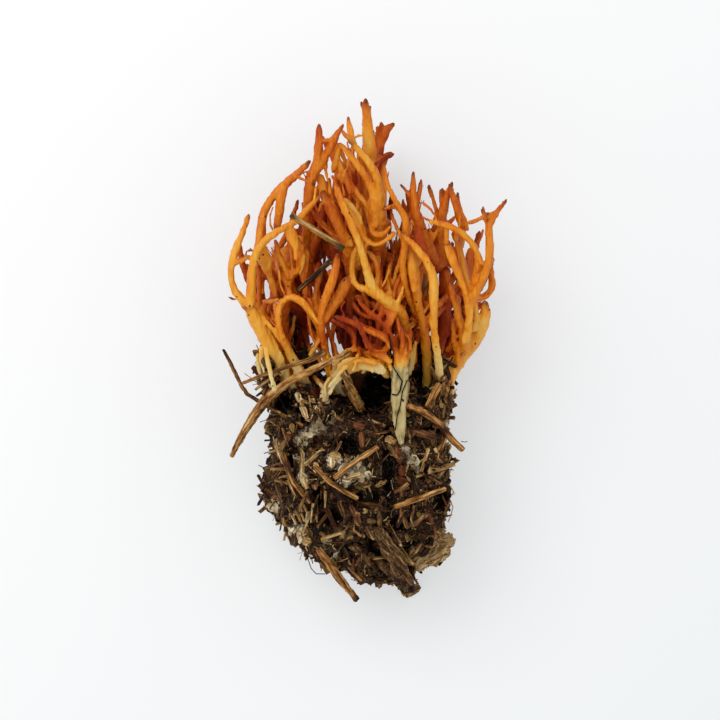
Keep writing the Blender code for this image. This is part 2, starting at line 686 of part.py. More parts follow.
def lumps(name, places, collection):
    """Overlapping ball-shaped lumps in one mesh."""
    shape = bmesh.new()
    for x, y, z, half_x, half_y, half_z in places:
        place = Matrix.Translation(photo_point(x, y, z))
        size = Matrix.Diagonal((half_x * PIXEL, half_y * PIXEL, half_z * MM, 1.0))
        bmesh.ops.create_icosphere(shape, subdivisions=3, radius=1.0, matrix=place @ size)
    mesh = bpy.data.meshes.new(name)
    shape.to_mesh(mesh)
    shape.free()
    body = bpy.data.objects.new(name, mesh)
    collection.objects.link(body)
    return body


def add_skin(body):
    """One even skin over everything in the body."""
    remesh = body.modifiers.new("one_skin", "REMESH")
    remesh.mode = "VOXEL"
    remesh.voxel_size = CLUMP_VOXEL


def build_clump(collection, cutters):
    """The lumpy, hollowed clump, flat where it was pressed on the surface."""
    clump = lumps("duff_clump", CLUMP_LUMPS, collection)
    add_skin(clump)
    clump = combine(clump, lumps("hollows", CLUMP_HOLLOWS, cutters), "DIFFERENCE")
    add_skin(clump)
    crumbs = bpy.data.textures.new("crumbs", "CLOUDS")
    crumbs.noise_scale = CLUMP_GRAIN
    crumbs.noise_depth = 2
    rough = clump.modifiers.new("crumbly", "DISPLACE")
    rough.texture = crumbs
    rough.texture_coords = "LOCAL"
    rough.strength = CLUMP_ROUGHNESS
    rough.mid_level = 0.5
    clump = mesh_of(clump)
    clump.data.calc_loop_triangles()
    thin = clump.modifiers.new("fewer_faces", "DECIMATE")
    thin.ratio = CLUMP_TRIANGLES / len(clump.data.loop_triangles)
    clump = mesh_of(clump)
    keep_largest(clump)
    return combine(clump, below_surface(cutters), "DIFFERENCE")


def below_surface(cutters):
    """A block that takes away everything under the surface."""
    shape = bmesh.new()
    bmesh.ops.create_cube(shape, size=2 * LENGTH)
    mesh = bpy.data.meshes.new("below_surface")
    bmesh.ops.translate(shape, vec=(0.0, 0.0, -LENGTH), verts=shape.verts)
    shape.to_mesh(mesh)
    shape.free()
    block = bpy.data.objects.new("below_surface", mesh)
    cutters.objects.link(block)
    return block


def bark_piece(name, collection, extra=0.0):
    """A five-cornered slab of bark, larger all round by extra."""
    corners = [Vector(photo_point(x, y, 0.0)) for x, y in BARK_CORNERS]
    middle = sum(corners, Vector()) / len(corners)
    curve = bpy.data.curves.new(name, "CURVE")
    curve.dimensions = "2D"
    curve.fill_mode = "BOTH"
    curve.extrude = BARK_THICKNESS / 2 + extra
    spline = curve.splines.new("POLY")
    spline.use_cyclic_u = True
    spline.points.add(len(corners) - 1)
    for point, corner in zip(spline.points, corners):
        outward = (corner - middle).normalized()
        point.co = (*(corner - middle + outward * extra * CORNER_REACH), 1.0)
    shape = bpy.data.objects.new(name, curve)
    collection.objects.link(shape)
    shape.location = middle + Vector((0.0, 0.0, BARK_HEIGHT))
    shape.rotation_euler = BARK_LEAN
    return mesh_of(shape)


def near_box(course, low, high):
    """Whether the course comes into the box."""
    thick = course.radii[:, None] + GAP
    inside = (course.points > low - thick) & (course.points < high + thick)
    return inside.all(axis=1).any()


def world_box(body):
    corners = np.array([body.matrix_world @ Vector(corner) for corner in body.bound_box])
    return corners.min(axis=0), corners.max(axis=0)


def finish(body, material):
    """Smooth shading with the body's own material."""
    body.data.materials.clear()
    body.data.materials.append(material)
    body.data.shade_smooth()
    body.data.set_sharp_from_angle(angle=CRISP_EDGE)


def node_finish(node):
    """Base colour and roughness of a piece by what it is."""
    if node in ("duff_clump", "dark_crown_needle"):
        return DUFF, WOOD_ROUGHNESS
    if node in ("bark_chunk", "bottom_stick", "splinter_bundle"):
        return BARK, WOOD_ROUGHNESS
    if node == "white_root":
        return ROOT, WOOD_ROUGHNESS
    if node in LITTER:
        return STRAW, WOOD_ROUGHNESS
    if node in UNDERSIDE or node in ("right_deep_trunk", "orange_body"):
        return ORANGE, FUNGUS_ROUGHNESS
    if node in ("cream_band", "left_stem", "left_ribbon_branch", "pale_ribbon_branch"):
        return CREAM, FUNGUS_ROUGHNESS
    if node in ("left_deep_branch", "left_cup_branch", "lower_mauve_branch", "centre_flat_branch"):
        return RED_BROWN, FUNGUS_ROUGHNESS
    return GOLD, FUNGUS_ROUGHNESS


def build():
    for leftover in list(bpy.data.objects):
        bpy.data.objects.remove(leftover)
    parts = make_collection("stagshorn_fungus")
    cutters = make_collection("cutters")
    traced = {}
    for group in (LEFT_TUFT, CROWN, CENTRE, LOWER_CENTRE, RIGHT_SIDE, UNDERSIDE, LITTER):
        traced.update(group)
    courses = [Course(node, line) for node, lines in traced.items() for line in lines]
    beads, places = settle(courses)
    contacts = touching_courses(courses, beads, places)
    bodies = {}
    for node in traced:
        own = [course for course in courses if course.node == node]
        body = tube(node, own[0], parts)
        for side in own[1:]:
            body = combine(body, tube(node + "_side", side, cutters), "UNION")
        for number in sorted(contacts.get(node, ())):
            body = combine(body, tube("clearance", courses[number], cutters, GAP), "DIFFERENCE")
        keep_largest(body)
        bodies[node] = body
    bodies["bark_chunk"] = bark_piece("bark_chunk", parts)
    clump = build_clump(parts, cutters)
    low, high = world_box(clump)
    for course in courses:
        if near_box(course, low, high):
            clump = combine(clump, tube("clearance", course, cutters, GAP), "DIFFERENCE")
    clump = combine(clump, bark_piece("bark_clearance", cutters, GAP), "DIFFERENCE")
    keep_largest(clump)
    bodies["duff_clump"] = clump
    for node, body in bodies.items():
        body.name = node
        finish(body, make_material(node, *node_finish(node)))
    return courses


build()
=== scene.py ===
"""Looks of the stagshorn fungus and its duff clump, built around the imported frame. Metres throughout."""

import heapq
import math
import random

import bmesh
import bpy
import numpy
from mathutils import Matrix, Vector
from mathutils.bvhtree import BVHTree
from mathutils.kdtree import KDTree


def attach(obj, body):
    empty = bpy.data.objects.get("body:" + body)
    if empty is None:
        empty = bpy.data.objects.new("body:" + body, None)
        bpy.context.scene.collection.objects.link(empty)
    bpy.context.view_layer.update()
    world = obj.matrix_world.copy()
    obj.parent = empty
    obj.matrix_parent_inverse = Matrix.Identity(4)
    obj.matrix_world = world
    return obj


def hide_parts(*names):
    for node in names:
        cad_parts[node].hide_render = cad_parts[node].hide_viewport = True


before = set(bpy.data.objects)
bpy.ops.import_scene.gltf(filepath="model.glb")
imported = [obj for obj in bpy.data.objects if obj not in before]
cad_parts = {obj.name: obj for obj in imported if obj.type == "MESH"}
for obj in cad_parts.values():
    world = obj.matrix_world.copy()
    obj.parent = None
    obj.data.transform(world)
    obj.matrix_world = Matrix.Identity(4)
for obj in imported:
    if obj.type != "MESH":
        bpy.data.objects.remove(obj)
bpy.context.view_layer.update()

MM = 0.001

# The photograph's scale, as in the part: the whole thing is 502 pixels and 100 mm long
PIXEL = 0.100 / 502
PHOTO_MIDDLE = (365.0, 351.0)
PHOTO_SIDE = 720

# The least height over the floor, and one above everything
FLOOR_GAP = 0.02 * MM
SKY = 0.1

CAMERA_HEIGHT = 1.5
OBJECT_MIDDLE_HEIGHT = 20 * MM
SENSOR = 0.036

# A length past that of any branch, and the shortest that still counts as one
FAR = 1.0
SHORTEST_BRANCH = 3 * MM

FUNGUS_VOXEL = 0.2 * MM
DEEP_VOXEL = 0.3 * MM

# How much a branch is fattened at some distances from its tip
FATTENED_AT = [0, 2 * MM, 9 * MM]
FATTENED_BY = [0.07 * MM, 0.13 * MM, 0.2 * MM]

# The share of its triangles that a finished skin keeps
FINAL_SHARE = 0.4

# How ripe the fungus looks down the photograph: 0 is cream, 1 is the dark of a tip
RIPENESS_BY_ROW = [(100, 0.52), (115, 0.47), (160, 0.42), (200, 0.48), (250, 0.49), (300, 0.50),
                   (340, 0.45), (368, 0.22), (385, 0.05), (400, 0.0)]
TIP_DARK_LENGTH = 0.75 * MM
TIP_RIPENESS = 0.16
TIP_RIPE_LENGTH = 2.6 * MM

# Painted shade: flesh is painted riper, darker and redder, deep in the tuft, and on its sides more than on
# its upper faces
DEEP_PAINTED_SHADE_BY_ROW = [(240, 0.1), (320, 0.32)]
DEPTH_TOP = 23 * MM
DEPTH_REACH = 15 * MM
SIDE_PAINTED_SHADE = 0.12
EVEN_FACE = 0.6
TONE_BLENDING = 4

# The feet of the deep tuft are dark with soil, more and more from one row of the photograph to the other
DIRTY_ROWS = (362, 376)

# Tips that aren't withered: middle and reach
FRESH_TIPS = [((348, 134), 9)]

# A branch that lies pressed flat, with its height and how thick it stays
PRESSED_FLAT = {"cream_band": (25.5 * MM, 0.3)}

# Places that are riper, or paler where below 0, than their row, partly the flesh's own colour and partly
# painted shade where the flesh lies deep in the tuft: middle, reach and amount
RIPER_OR_SHADED_PLACES = [
    ((384, 158), 12, 0.26), ((384, 134), 12, 0.14), ((368, 142), 14, -0.14), ((365, 104), 8, 0.08),
    ((320, 140), 16, 0.08), ((357, 182), 12, 0.2), ((318, 216), 10, 0.1), ((353, 210), 9, -0.1),
    ((356, 250), 14, -0.14), ((368, 278), 14, -0.16), ((388, 300), 14, -0.12), ((412, 268), 14, -0.1),
    ((342, 300), 12, -0.02), ((350, 335), 24, 0.22), ((378, 345), 22, 0.22), ((275, 262), 20, -0.14),
    ((300, 245), 14, -0.1), ((328, 345), 14, 0.14), ((380, 272), 8, 0.2), ((340, 318), 9, 0.12),
    ((376, 322), 12, 0.1), ((252, 318), 20, -0.08), ((240, 250), 20, -0.06), ((432, 290), 14, -0.1),
    ((436, 360), 20, -0.08), ((482, 325), 20, -0.18), ((400, 374), 8, -0.2), ((450, 380), 12, 0.12),
    ((500, 208), 10, 0.16), ((448, 200), 20, 0.06), ((300, 182), 12, 0.12), ((292, 255), 12, 0.02),
    ((462, 240), 14, -0.04), ((365, 368), 16, -0.02), ((398, 370), 10, -0.04), ((322, 236), 12, -0.08),
    ((368, 164), 9, -0.1),
]

# The branches of each tuft, with how much riper or paler each one is than its height says
LEFT_TUFT = {
    "left_stem": -0.08, "left_outer_branch": -0.10, "left_inner_branch": -0.06, "left_arch_branch": 0.02,
    "left_cup_branch": 0.06, "left_ribbon_branch": -0.02, "left_orange_branch": 0.06,
}
CROWN = {
    "crown_fork_branch": -0.04, "crown_left_spikes": 0.08, "crown_top_spike": -0.02,
    "crown_fan_spike": 0.10, "crown_hook_branch": 0.02,
}
CENTRE = {
    "centre_long_branch": -0.08, "centre_flat_branch": 0.10, "centre_lobe_branch": -0.04,
    "centre_pale_branch": 0.02, "centre_cavity_branch": 0.02,
}
LOWER_CENTRE = {
    "cream_band": 0.03, "pale_ribbon_branch": -0.12, "lower_hairpin_branch": 0.08,
    "lower_mauve_branch": 0.26, "root_fan_branch": 0.12,
}
RIGHT_SIDE = {
    "right_centre_branch": -0.08, "right_lobe_branch": -0.02, "right_stem": -0.06,
    "right_paired_branch": 0.0, "right_inner_branch": 0.02, "right_long_branch": -0.02,
    "right_hooked_branch": 0.0, "right_tall_spike": 0.06, "right_twin_spike": 0.06,
    "right_fork_spike": 0.04,
}
DEEP_TUFT = {
    "left_deep_branch": 0.04, "orange_body": 0.14, "right_deep_trunk": 0.16, "under_left_branch": 0.08,
    "under_middle_branch": 0.14, "under_centre_branch": 0.16, "under_right_branch": 0.14,
    "under_outer_branch": 0.12,
}
FUNGUS = [*LEFT_TUFT, *CROWN, *CENTRE, *LOWER_CENTRE, *RIGHT_SIDE, *DEEP_TUFT]


def photo_point(x, y, height=0.0):
    """The place that a pixel of the photograph shows at that height."""
    return Vector(((x - PHOTO_MIDDLE[0]) * PIXEL, (PHOTO_MIDDLE[1] - y) * PIXEL, height))


def clear_selection():
    if bpy.context.mode != "OBJECT":
        bpy.ops.object.mode_set(mode="OBJECT")
    bpy.ops.object.select_all(action="DESELECT")


def pick(piece):
    """piece alone is selected and active."""
    clear_selection()
    piece.select_set(True)
    bpy.context.view_layer.objects.active = piece


def join(pieces):
    clear_selection()
    for piece in pieces:
        piece.select_set(True)
    bpy.context.view_layer.objects.active = pieces[0]
    bpy.ops.object.join()
    return pieces[0]


def apply_modifier(piece, kind, **settings):
    """Adds a modifier and applies it."""
    pick(piece)
    modifier = piece.modifiers.new(kind.lower(), kind)
    for name, value in settings.items():
        setattr(modifier, name, value)
    bpy.ops.object.modifier_apply(modifier=modifier.name)


def corners(piece):
    """The places of a mesh's corners as rows of x, y, z."""
    rows = numpy.empty(len(piece.data.vertices) * 3, numpy.float32)
    piece.data.vertices.foreach_get("co", rows)
    return rows.reshape(-1, 3)


def place_corners(piece, rows):
    piece.data.vertices.foreach_set("co", rows.astype(numpy.float32).ravel())
    piece.data.update()


def keep_above_floor(piece):
    """No corner of a piece is left under the floor that the object lies on."""
    rows = corners(piece)
    rows[:, 2] = numpy.maximum(rows[:, 2], FLOOR_GAP)
    place_corners(piece, rows)


def outward(piece):
    """The outward direction at each corner."""
    rows = numpy.empty(len(piece.data.vertices) * 3, numpy.float32)
    piece.data.vertex_normals.foreach_get("vector", rows)
    return rows.reshape(-1, 3)


def write_values(piece, name, values):
    """Keeps one number at each corner for the material."""
    attribute = piece.data.attributes.get(name) or piece.data.attributes.new(name, "FLOAT", "POINT")
    attribute.data.foreach_set("value", numpy.asarray(values, numpy.float32))


def write_places(piece, name, rows):
    """Keeps a place at each corner for the material."""
    attribute = piece.data.attributes.new(name, "FLOAT_VECTOR", "POINT")
    attribute.data.foreach_set("vector", numpy.asarray(rows, numpy.float32).ravel())


def read_values(piece, name):
    values = numpy.empty(len(piece.data.vertices), numpy.float32)
    piece.data.attributes[name].data.foreach_get("value", values)
    return values


def welded_copy(node, name):
    """A CAD node's shape as a piece of its own, its loose triangles merged."""
    piece = bpy.data.objects.new(name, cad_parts[node].data.copy())
    bpy.context.scene.collection.objects.link(piece)
    piece.data.materials.clear()
    pick(piece)
    bpy.ops.object.mode_set(mode="EDIT")
    bpy.ops.mesh.select_all(action="SELECT")
    bpy.ops.mesh.remove_doubles(threshold=0.001 * MM)
    bpy.ops.mesh.mark_sharp(clear=True)
    bpy.ops.object.mode_set(mode="OBJECT")
    bpy.ops.mesh.customdata_custom_splitnormals_clear()
    return piece


def nearest_lookup(rows):
    """A lookup of the nearest of many places, by their numbers."""
    tree = KDTree(len(rows))
    for number, row in enumerate(rows):
        tree.insert(row, number)
    tree.balance()
    return tree


def surface_of(piece):
    """A piece's surface, for finding heights and the nearest place on it."""
    return BVHTree.FromPolygons([corner.co for corner in piece.data.vertices],
                                [face.vertices for face in piece.data.polygons])


def highest(surface, place):
    """Where a surface is highest over a place, or None beside it."""
    return surface.ray_cast(Vector((place.x, place.y, SKY)), Vector((0, 0, -1)))[0]


def nearness(rows, middle, reach):
    """How near each place is to one in the photograph: 1 there, and almost 0 at twice its reach."""
    apart = numpy.hypot(*(rows[:, :2] - photo_point(*middle).to_2d()).T) / (reach * PIXEL)
    return numpy.exp(-apart ** 2)


def spread(piece, starts):
    """The distance along a mesh's edges from the nearest start to each corner."""
    places = corners(piece)
    ways = [[] for _ in places]
    for edge in piece.data.edges:
        one, other = edge.vertices
        length = float(numpy.linalg.norm(places[one] - places[other]))
        ways[one].append((other, length))
        ways[other].append((one, length))
    reached = [math.inf] * len(places)
    queue = [(0.0, start) for start in starts]
    for start in starts:
        reached[start] = 0.0
    while queue:
        distance, here = heapq.heappop(queue)
        if distance > reached[here]:
            continue
        for there, length in ways[here]:
            if distance + length < reached[there]:
                reached[there] = distance + length
                heapq.heappush(queue, (distance + length, there))
    return numpy.array(reached), ways


def distance_to_tips(branch):
    """How far each corner of a branch is from the tip that it leads to. Its foot is its lowest corner in
    the photograph."""
    places = corners(branch)
    foot = int(places[:, 1].argmin())
    from_foot, ways = spread(branch, [foot])
    tips = [
        here for here in range(len(places))
        if ways[here] and from_foot[here] > SHORTEST_BRANCH
        and all(from_foot[there] <= from_foot[here] for there, _ in ways[here])
    ]
    from_tips, _ = spread(branch, tips)
    return numpy.where(numpy.isfinite(from_tips), from_tips, FAR)


# Materials


def colour(code):
    """A web colour as the linear one that a shader takes."""
    parts = [int(code[place:place + 2], 16) / 255 for place in (0, 2, 4)]
    linear = [part / 12.92 if part <= 0.04045 else ((part + 0.055) / 1.055) ** 2.4 for part in parts]
    return (*linear, 1.0)


class Finish:
    """A material under construction: its shader and the nodes that feed it."""

    def __init__(self, name, **sockets):
        self.material = bpy.data.materials.new(name)
        self.material.use_nodes = True
        self.tree = self.material.node_tree
        self.shader = self.tree.nodes["Principled BSDF"]
        for socket, value in sockets.items():
            self.shader.inputs[socket.replace("_", " ")].default_value = value
        self.place = self.tree.nodes.new("ShaderNodeTexCoord").outputs["Object"]

    def link(self, source, target):
        self.tree.links.new(source, target)

    def value(self, name):
        node = self.tree.nodes.new("ShaderNodeAttribute")
        node.attribute_name = name
        return node

    def noise(self, size, detail=4.0, roughness=0.6, stretch=(1, 1, 1), place=None):
        """Noise whose patches are about size metres across."""
        mapping = self.tree.nodes.new("ShaderNodeMapping")
        mapping.inputs["Scale"].default_value = stretch
        self.link(place or self.place, mapping.inputs["Vector"])
        node = self.tree.nodes.new("ShaderNodeTexNoise")
        node.inputs["Scale"].default_value = 1 / size
        node.inputs["Detail"].default_value = detail
        node.inputs["Roughness"].default_value = roughness
        self.link(mapping.outputs["Vector"], node.inputs["Vector"])
        return node.outputs["Fac"]

    def sum(self, first, second, share=1.0, shift=0.0):
        """first + second * share + shift."""
        node = self.tree.nodes.new("ShaderNodeMath")
        node.operation = "MULTIPLY_ADD"
        self.link(second, node.inputs[0])
        node.inputs[1].default_value = share
        self.link(first, node.inputs[2])
        if not shift:
            return node.outputs[0]
        more = self.tree.nodes.new("ShaderNodeMath")
        more.operation = "ADD"
        more.inputs[1].default_value = shift
        self.link(node.outputs[0], more.inputs[0])
        return more.outputs[0]

    def clamped(self, source, factor):
        """source * factor, kept between 0 and 1."""
        node = self.tree.nodes.new("ShaderNodeMath")
        node.operation = "MULTIPLY"
        node.use_clamp = True
        node.inputs[1].default_value = factor
        self.link(source, node.inputs[0])
        return node.outputs[0]

    def ramp(self, source, stops):
        """Colours that source picks from, each at its place from 0 to 1."""
        node = self.tree.nodes.new("ShaderNodeValToRGB")
        band = node.color_ramp
        while len(band.elements) < len(stops):
            band.elements.new(0.5)
        for element, (place, code) in zip(band.elements, stops):
            element.position = place
            element.color = colour(code)
        self.link(source, node.inputs["Fac"])
        return node.outputs["Color"]

    def mix(self, share, first, second):
        """A share of the second colour over the first."""
        node = self.tree.nodes.new("ShaderNodeMix")
        node.data_type = "RGBA"
        for source, socket in ((share, 0), (first, 6), (second, 7)):
            if hasattr(source, "links"):
                self.link(source, node.inputs[socket])
            else:
                node.inputs[socket].default_value = source
        return node.outputs[2]

    def relief(self, source, height, strength):
        node = self.tree.nodes.new("ShaderNodeBump")
        node.inputs["Strength"].default_value = strength
        node.inputs["Distance"].default_value = height
        self.link(source, node.inputs["Height"])
        self.link(node.outputs["Normal"], self.shader.inputs["Normal"])

    def paint(self, source):
        self.link(source, self.shader.inputs["Base Color"])


def waxy_fungus(name):
    """Moist, waxy flesh: cream at the foot, then gold and orange, red within where its ripeness also carries
    painted shade, brown at withered tips.
    """
    finish = Finish(name, Specular_IOR_Level=0.22, Subsurface_Weight=0.14,
                    Subsurface_Scale=0.7 * MM, Subsurface_Radius=(1.0, 0.3, 0.06))
    blotches = finish.noise(1.6 * MM, detail=3, stretch=(1, 0.5, 1))
    streaks = finish.noise(0.4 * MM, detail=3, stretch=(1, 0.16, 1))
    # This attribute holds the flesh's own ripeness together with painted shade deep in the tuft and on its
    # sides
    ripeness_and_shade = finish.value("ripeness_and_shade").outputs["Fac"]
    ripeness_and_shade = finish.sum(ripeness_and_shade, blotches, 0.28, -0.14)
    ripeness_and_shade = finish.sum(ripeness_and_shade, streaks, 0.3, -0.15)
    finish.link(finish.ramp(ripeness_and_shade, [(0.2, "868686"), (0.5, "969696"), (0.75, "DCDCDC")]),
                finish.shader.inputs["Roughness"])
    flesh_colour = finish.ramp(ripeness_and_shade, [
        (0.00, "E0C88E"), (0.12, "E4BC68"), (0.26, "EAAC3E"), (0.40, "E38E1E"), (0.54, "D06C0C"),
        (0.68, "B84C02"), (0.84, "9A3200"), (1.00, "761C00"),
    ])
    crust = finish.sum(finish.noise(0.8 * MM, detail=5, roughness=0.7), ripeness_and_shade, -0.6, -0.54)
    flesh_colour = finish.mix(finish.clamped(crust, 3), flesh_colour, colour("A47E4A"))
    finish.paint(finish.mix(finish.clamped(finish.value("withered").outputs["Fac"], 1.1), flesh_colour,
                            colour("54301C")))
    grain = finish.sum(finish.noise(0.28 * MM, detail=2, stretch=(1, 0.3, 1)), streaks, 0.8)
    finish.relief(grain, 0.07 * MM, 0.7)
    return finish.material


# Copies of a shape in many places


def strew(name, shapes, spots):
    """One piece holding a copy of a shape at each spot. A spot is the shape's number, its turn and size
    as a matrix, its place, and the numbers that the copy keeps as tone and stain."""
    kinds = []
    for shape in shapes:
        shape.data.calc_loop_triangles()
        faces = numpy.array([triangle.vertices[:] for triangle in shape.data.loop_triangles])
        kinds.append((corners(shape), faces))
    places, faces, tones, stains, grains, count = [], [], [], [], [], 0
    for kind, turn, place, tone, stain in spots:
        own_places, own_faces = kinds[kind]
        matrix = numpy.array(turn)
        places.append(own_places @ matrix.T + numpy.array(place))
        faces.append(own_faces + count)
        tones.append(numpy.full(len(own_places), tone))
        stains.append(numpy.full(len(own_places), stain))
        grains.append(own_places * numpy.linalg.norm(matrix, axis=0) + tone * 7 * MM)
        count += len(own_places)
    mesh = bpy.data.meshes.new(name)
    mesh.from_pydata(numpy.concatenate(places), [], numpy.concatenate(faces))
    piece = bpy.data.objects.new(name, mesh)
    bpy.context.scene.collection.objects.link(piece)
    write_values(piece, "tone", numpy.concatenate(tones))
    write_values(piece, "stain", numpy.concatenate(stains))
    write_places(piece, "grain", numpy.concatenate(grains))
    return piece


# Fungus


def chain(name, strands, sides=1):
    """A branching strand of round section. A strand is a list of places with widths; one that starts
    on a place already made forks from it."""
    clear_selection()
    first = Vector(strands[0][0][:3])
    bpy.ops.mesh.primitive_plane_add(size=1 * MM, location=first)
    piece = bpy.context.object
    piece.name = piece.data.name = name
    bpy.ops.object.transform_apply(location=True, rotation=True, scale=True)
    bpy.ops.object.mode_set(mode="EDIT")
    bpy.ops.mesh.select_all(action="SELECT")
    bpy.ops.mesh.merge(type="CENTER")
    widths = {0: strands[0][0][3]}
    for strand in strands:
        mesh = bmesh.from_edit_mesh(piece.data)
        start = Vector(strand[0][:3])
        mesh.verts.ensure_lookup_table()
        bpy.ops.mesh.select_all(action="DESELECT")
        nearest = min(mesh.verts, key=lambda corner: (corner.co - start).length)
        nearest.select_set(True)
        mesh.select_flush_mode()
        here = nearest.co.copy()
        for x, y, z, width in strand[1:]:
            there = Vector((x, y, z))
            widths[len(bmesh.from_edit_mesh(piece.data).verts)] = width
            bpy.ops.mesh.extrude_vertices_move(TRANSFORM_OT_translate={"value": there - here})
            here = there
    bpy.ops.object.mode_set(mode="OBJECT")
    pick(piece)
    bpy.ops.object.modifier_add(type="SKIN")
    for number, skin in enumerate(piece.data.skin_vertices[0].data):
        skin.radius = (widths[number] / 2, widths[number] / 2)
    bpy.ops.object.modifier_apply(modifier=piece.modifiers[0].name)
    if sides:
        apply_modifier(piece, "SUBSURF", levels=sides, render_levels=sides)
    return piece


def flat_chain(name, strands, flatness):
    """A branching strand whose section is that much flatter than it is wide."""
    piece = chain(name, [[(x, y, z / flatness, width) for x, y, z, width in strand] for strand in strands])
    rows = corners(piece)
    rows[:, 2] *= flatness
    place_corners(piece, rows)
    return piece


# Where pale ground shows between the branches in the photograph, kept free of added strands: middle
# and reach
OPEN_PLACES = [
    ((241, 240), 7), ((241, 252), 6), ((240, 270), 7), ((242, 284), 7), ((240, 296), 4), ((268, 221), 5),
    ((268, 229), 5), ((268, 238), 5), ((283, 241), 4), ((267, 286), 5), ((267, 297), 5), ((328, 164), 5),
    ((326, 172), 5), ((317, 186), 4), ((429, 228), 4), ((442, 240), 4), ((441, 252), 4), ((434, 262), 4),
    ((447, 257), 3), ((465, 248), 6), ((464, 258), 5), ((483, 243), 7), ((482, 254), 6), ((485, 281), 6),
    ((481, 290), 6), ((452, 205), 5), ((438, 275), 4), ((438, 286), 4), ((427, 214), 6), ((395, 217), 6),
    ((475, 233), 8), ((441, 332), 7), ((444, 344), 7), ((283, 214), 9), ((291, 205), 9), ((298, 192), 7),
    ((276, 226), 5), ((306, 152), 8), ((350, 128), 8), ((428, 200), 7), ((462, 200), 8), ((400, 178), 9),
    ((236, 310), 4), ((478, 268), 4), ((392, 190), 6), ((257, 235), 5), ((258, 250), 4), ((470, 225), 8),
]

# The heart of the fungus, where no pale ground shows between the branches: its outline in the photograph
HEART = [
    (300, 205), (312, 178), (330, 174), (345, 150), (362, 150), (376, 178), (384, 205), (398, 225),
    (410, 238), (424, 240), (436, 262), (441, 300), (436, 340), (425, 372), (405, 384), (300, 384),
    (288, 352), (262, 318), (256, 300), (272, 268), (288, 250),
]
HEART_REACH = 3 * MM

# Where the ends of added strands would stand out of the crown, and are cut back: middle and reach
CUT_BACK = [((360, 114), 10), ((348, 146), 6), ((390, 170), 6), ((332, 178), 4)]
EDGE_REACH = 0.8 * MM

# How the added strands fan out, wander and thin towards their ends, counted back from the tip. Some fork
# near the tip: millimetres aside, along and up, and their share of the width
FAN_FOOT = (352, 430)
TRIES_PER_STRAND = 80
STRAND_STEP = 2.7 * MM
ASIDE_AT_FIRST, UP_AT_FIRST = 0.35, 0.3
WANDER = 0.2
DRIFT_KEPT = 0.8
WIDTH_AT_FOOT = 0.6
TAPER = ((-3, 0.85), (-2, 0.65), (-1, 0.3))
FORKED_SHARE = 0.5
FORK = ((0.8, 1.6, 0.3, 0.6), (1.1, 3.2, 0.6, 0.3))
LEAST_STEPS = 4
LEAST_HEIGHT = 1 * MM
ROOF = 27 * MM
NO_STRAND_FROM_TIP = 5 * MM
FAR_FROM_TIPS = 9 * MM


def is_among(place, spots):
    """Whether a place is within the reach of one of the spots of the photograph."""
    return any((place.to_2d() - photo_point(*middle).to_2d()).length < reach * PIXEL
               for middle, reach in spots)


def in_heart(place):
    """Whether a place lies in the heart of the fungus."""
    x, y = place.x / PIXEL + PHOTO_MIDDLE[0], PHOTO_MIDDLE[1] - place.y / PIXEL
    inside = False
    for (x0, y0), (x1, y1) in zip(HEART, HEART[1:] + HEART[:1]):
        if (y0 > y) != (y1 > y) and x < x0 + (y - y0) / (y1 - y0) * (x1 - x0):
            inside = not inside
    return inside


def is_free(place):
    """Whether an added strand may pass a place: near a branch or in the heart, and not an open place."""
    reach = HEART_REACH if in_heart(place) else EDGE_REACH
    return fungus_plan.find(place)[2] < reach and not is_among(place, OPEN_PLACES)


def strands_on(form, count, steps, widths, heights, seed, tone=0.0, first_row=0, clearance=1.2 * MM,
               hidden=0, flatness=0.7):
    """Long strands that leave a form's branches and rise beside them through the tuft, below its top
    layer. A hidden one, at 1, has no dark tip."""
    dice = random.Random(seed)
    places = corners(form)
    to_tip, tones = read_values(form, "to_tip"), read_values(form, "tone")
    fan_foot = photo_point(*FAN_FOOT)
    strands, tries = [], 0
    while len(strands) < count and tries < count * TRIES_PER_STRAND:
        tries += 1
        number = dice.randrange(len(places))
        here = Vector(places[number])
        if (to_tip[number] < NO_STRAND_FROM_TIP or not heights[0] < here.z < heights[1]
                or PHOTO_MIDDLE[1] - here.y / PIXEL < first_row):
            continue
        width = dice.uniform(*widths)
        route = [(*here, width * WIDTH_AT_FOOT)]
        drift = Vector((dice.uniform(-ASIDE_AT_FIRST, ASIDE_AT_FIRST), 0,
                        dice.uniform(-UP_AT_FIRST, UP_AT_FIRST)))
        for _ in range(dice.randint(*steps)):
            fan = here - fan_foot
            fan.z = 0
            drift += Vector((dice.gauss(0, WANDER), 0, dice.gauss(0, WANDER * 0.7)))
            drift *= DRIFT_KEPT
            way = (fan.normalized() + drift).normalized()
            there = here + way * STRAND_STEP
            top = top_of_branches(there)
            there.z = min(max(there.z, heights[0]), heights[1], top - clearance)
            flat = Vector((there.x, there.y, 0))
            side = Vector((way.y, -way.x, 0)) * width * 0.45
            halfway = Vector(((here.x + there.x) / 2, (here.y + there.y) / 2, 0))
            passed = (flat, flat + side, flat - side, halfway)
            if there.z < LEAST_HEIGHT or not all(is_free(spot) for spot in passed):
                break
            here = there
            route.append((*here, width * dice.uniform(0.85, 1.15)))
        if len(route) < LEAST_STEPS:
            continue
        while len(route) > LEAST_STEPS and is_among(Vector(route[-1][:2]), CUT_BACK):
            route.pop()
        for back, share in TAPER:
            route[back] = (*route[back][:3], width * share)
        strand = [route]
        if dice.random() < FORKED_SHARE:
            x, y, z, _ = route[-3]
            side = dice.choice((-1, 1))
            tines = [(x + side * aside * MM, y + along * MM, z + up * MM, width * share)
                     for aside, along, up, share in FORK]
            strand.append([route[-3], *tines])
        piece = flat_chain("strand", strand, flatness)
        from_tip = corners(piece) - numpy.array(route[-1][:3])
        write_values(piece, "to_tip", numpy.linalg.norm(from_tip, axis=1) + hidden * FAR_FROM_TIPS)
        own_tone = tones[number] + tone + dice.uniform(-0.1, 0.1)
        write_values(piece, "tone", numpy.full(len(from_tip), own_tone))
        strands.append(piece)
    return join(strands)


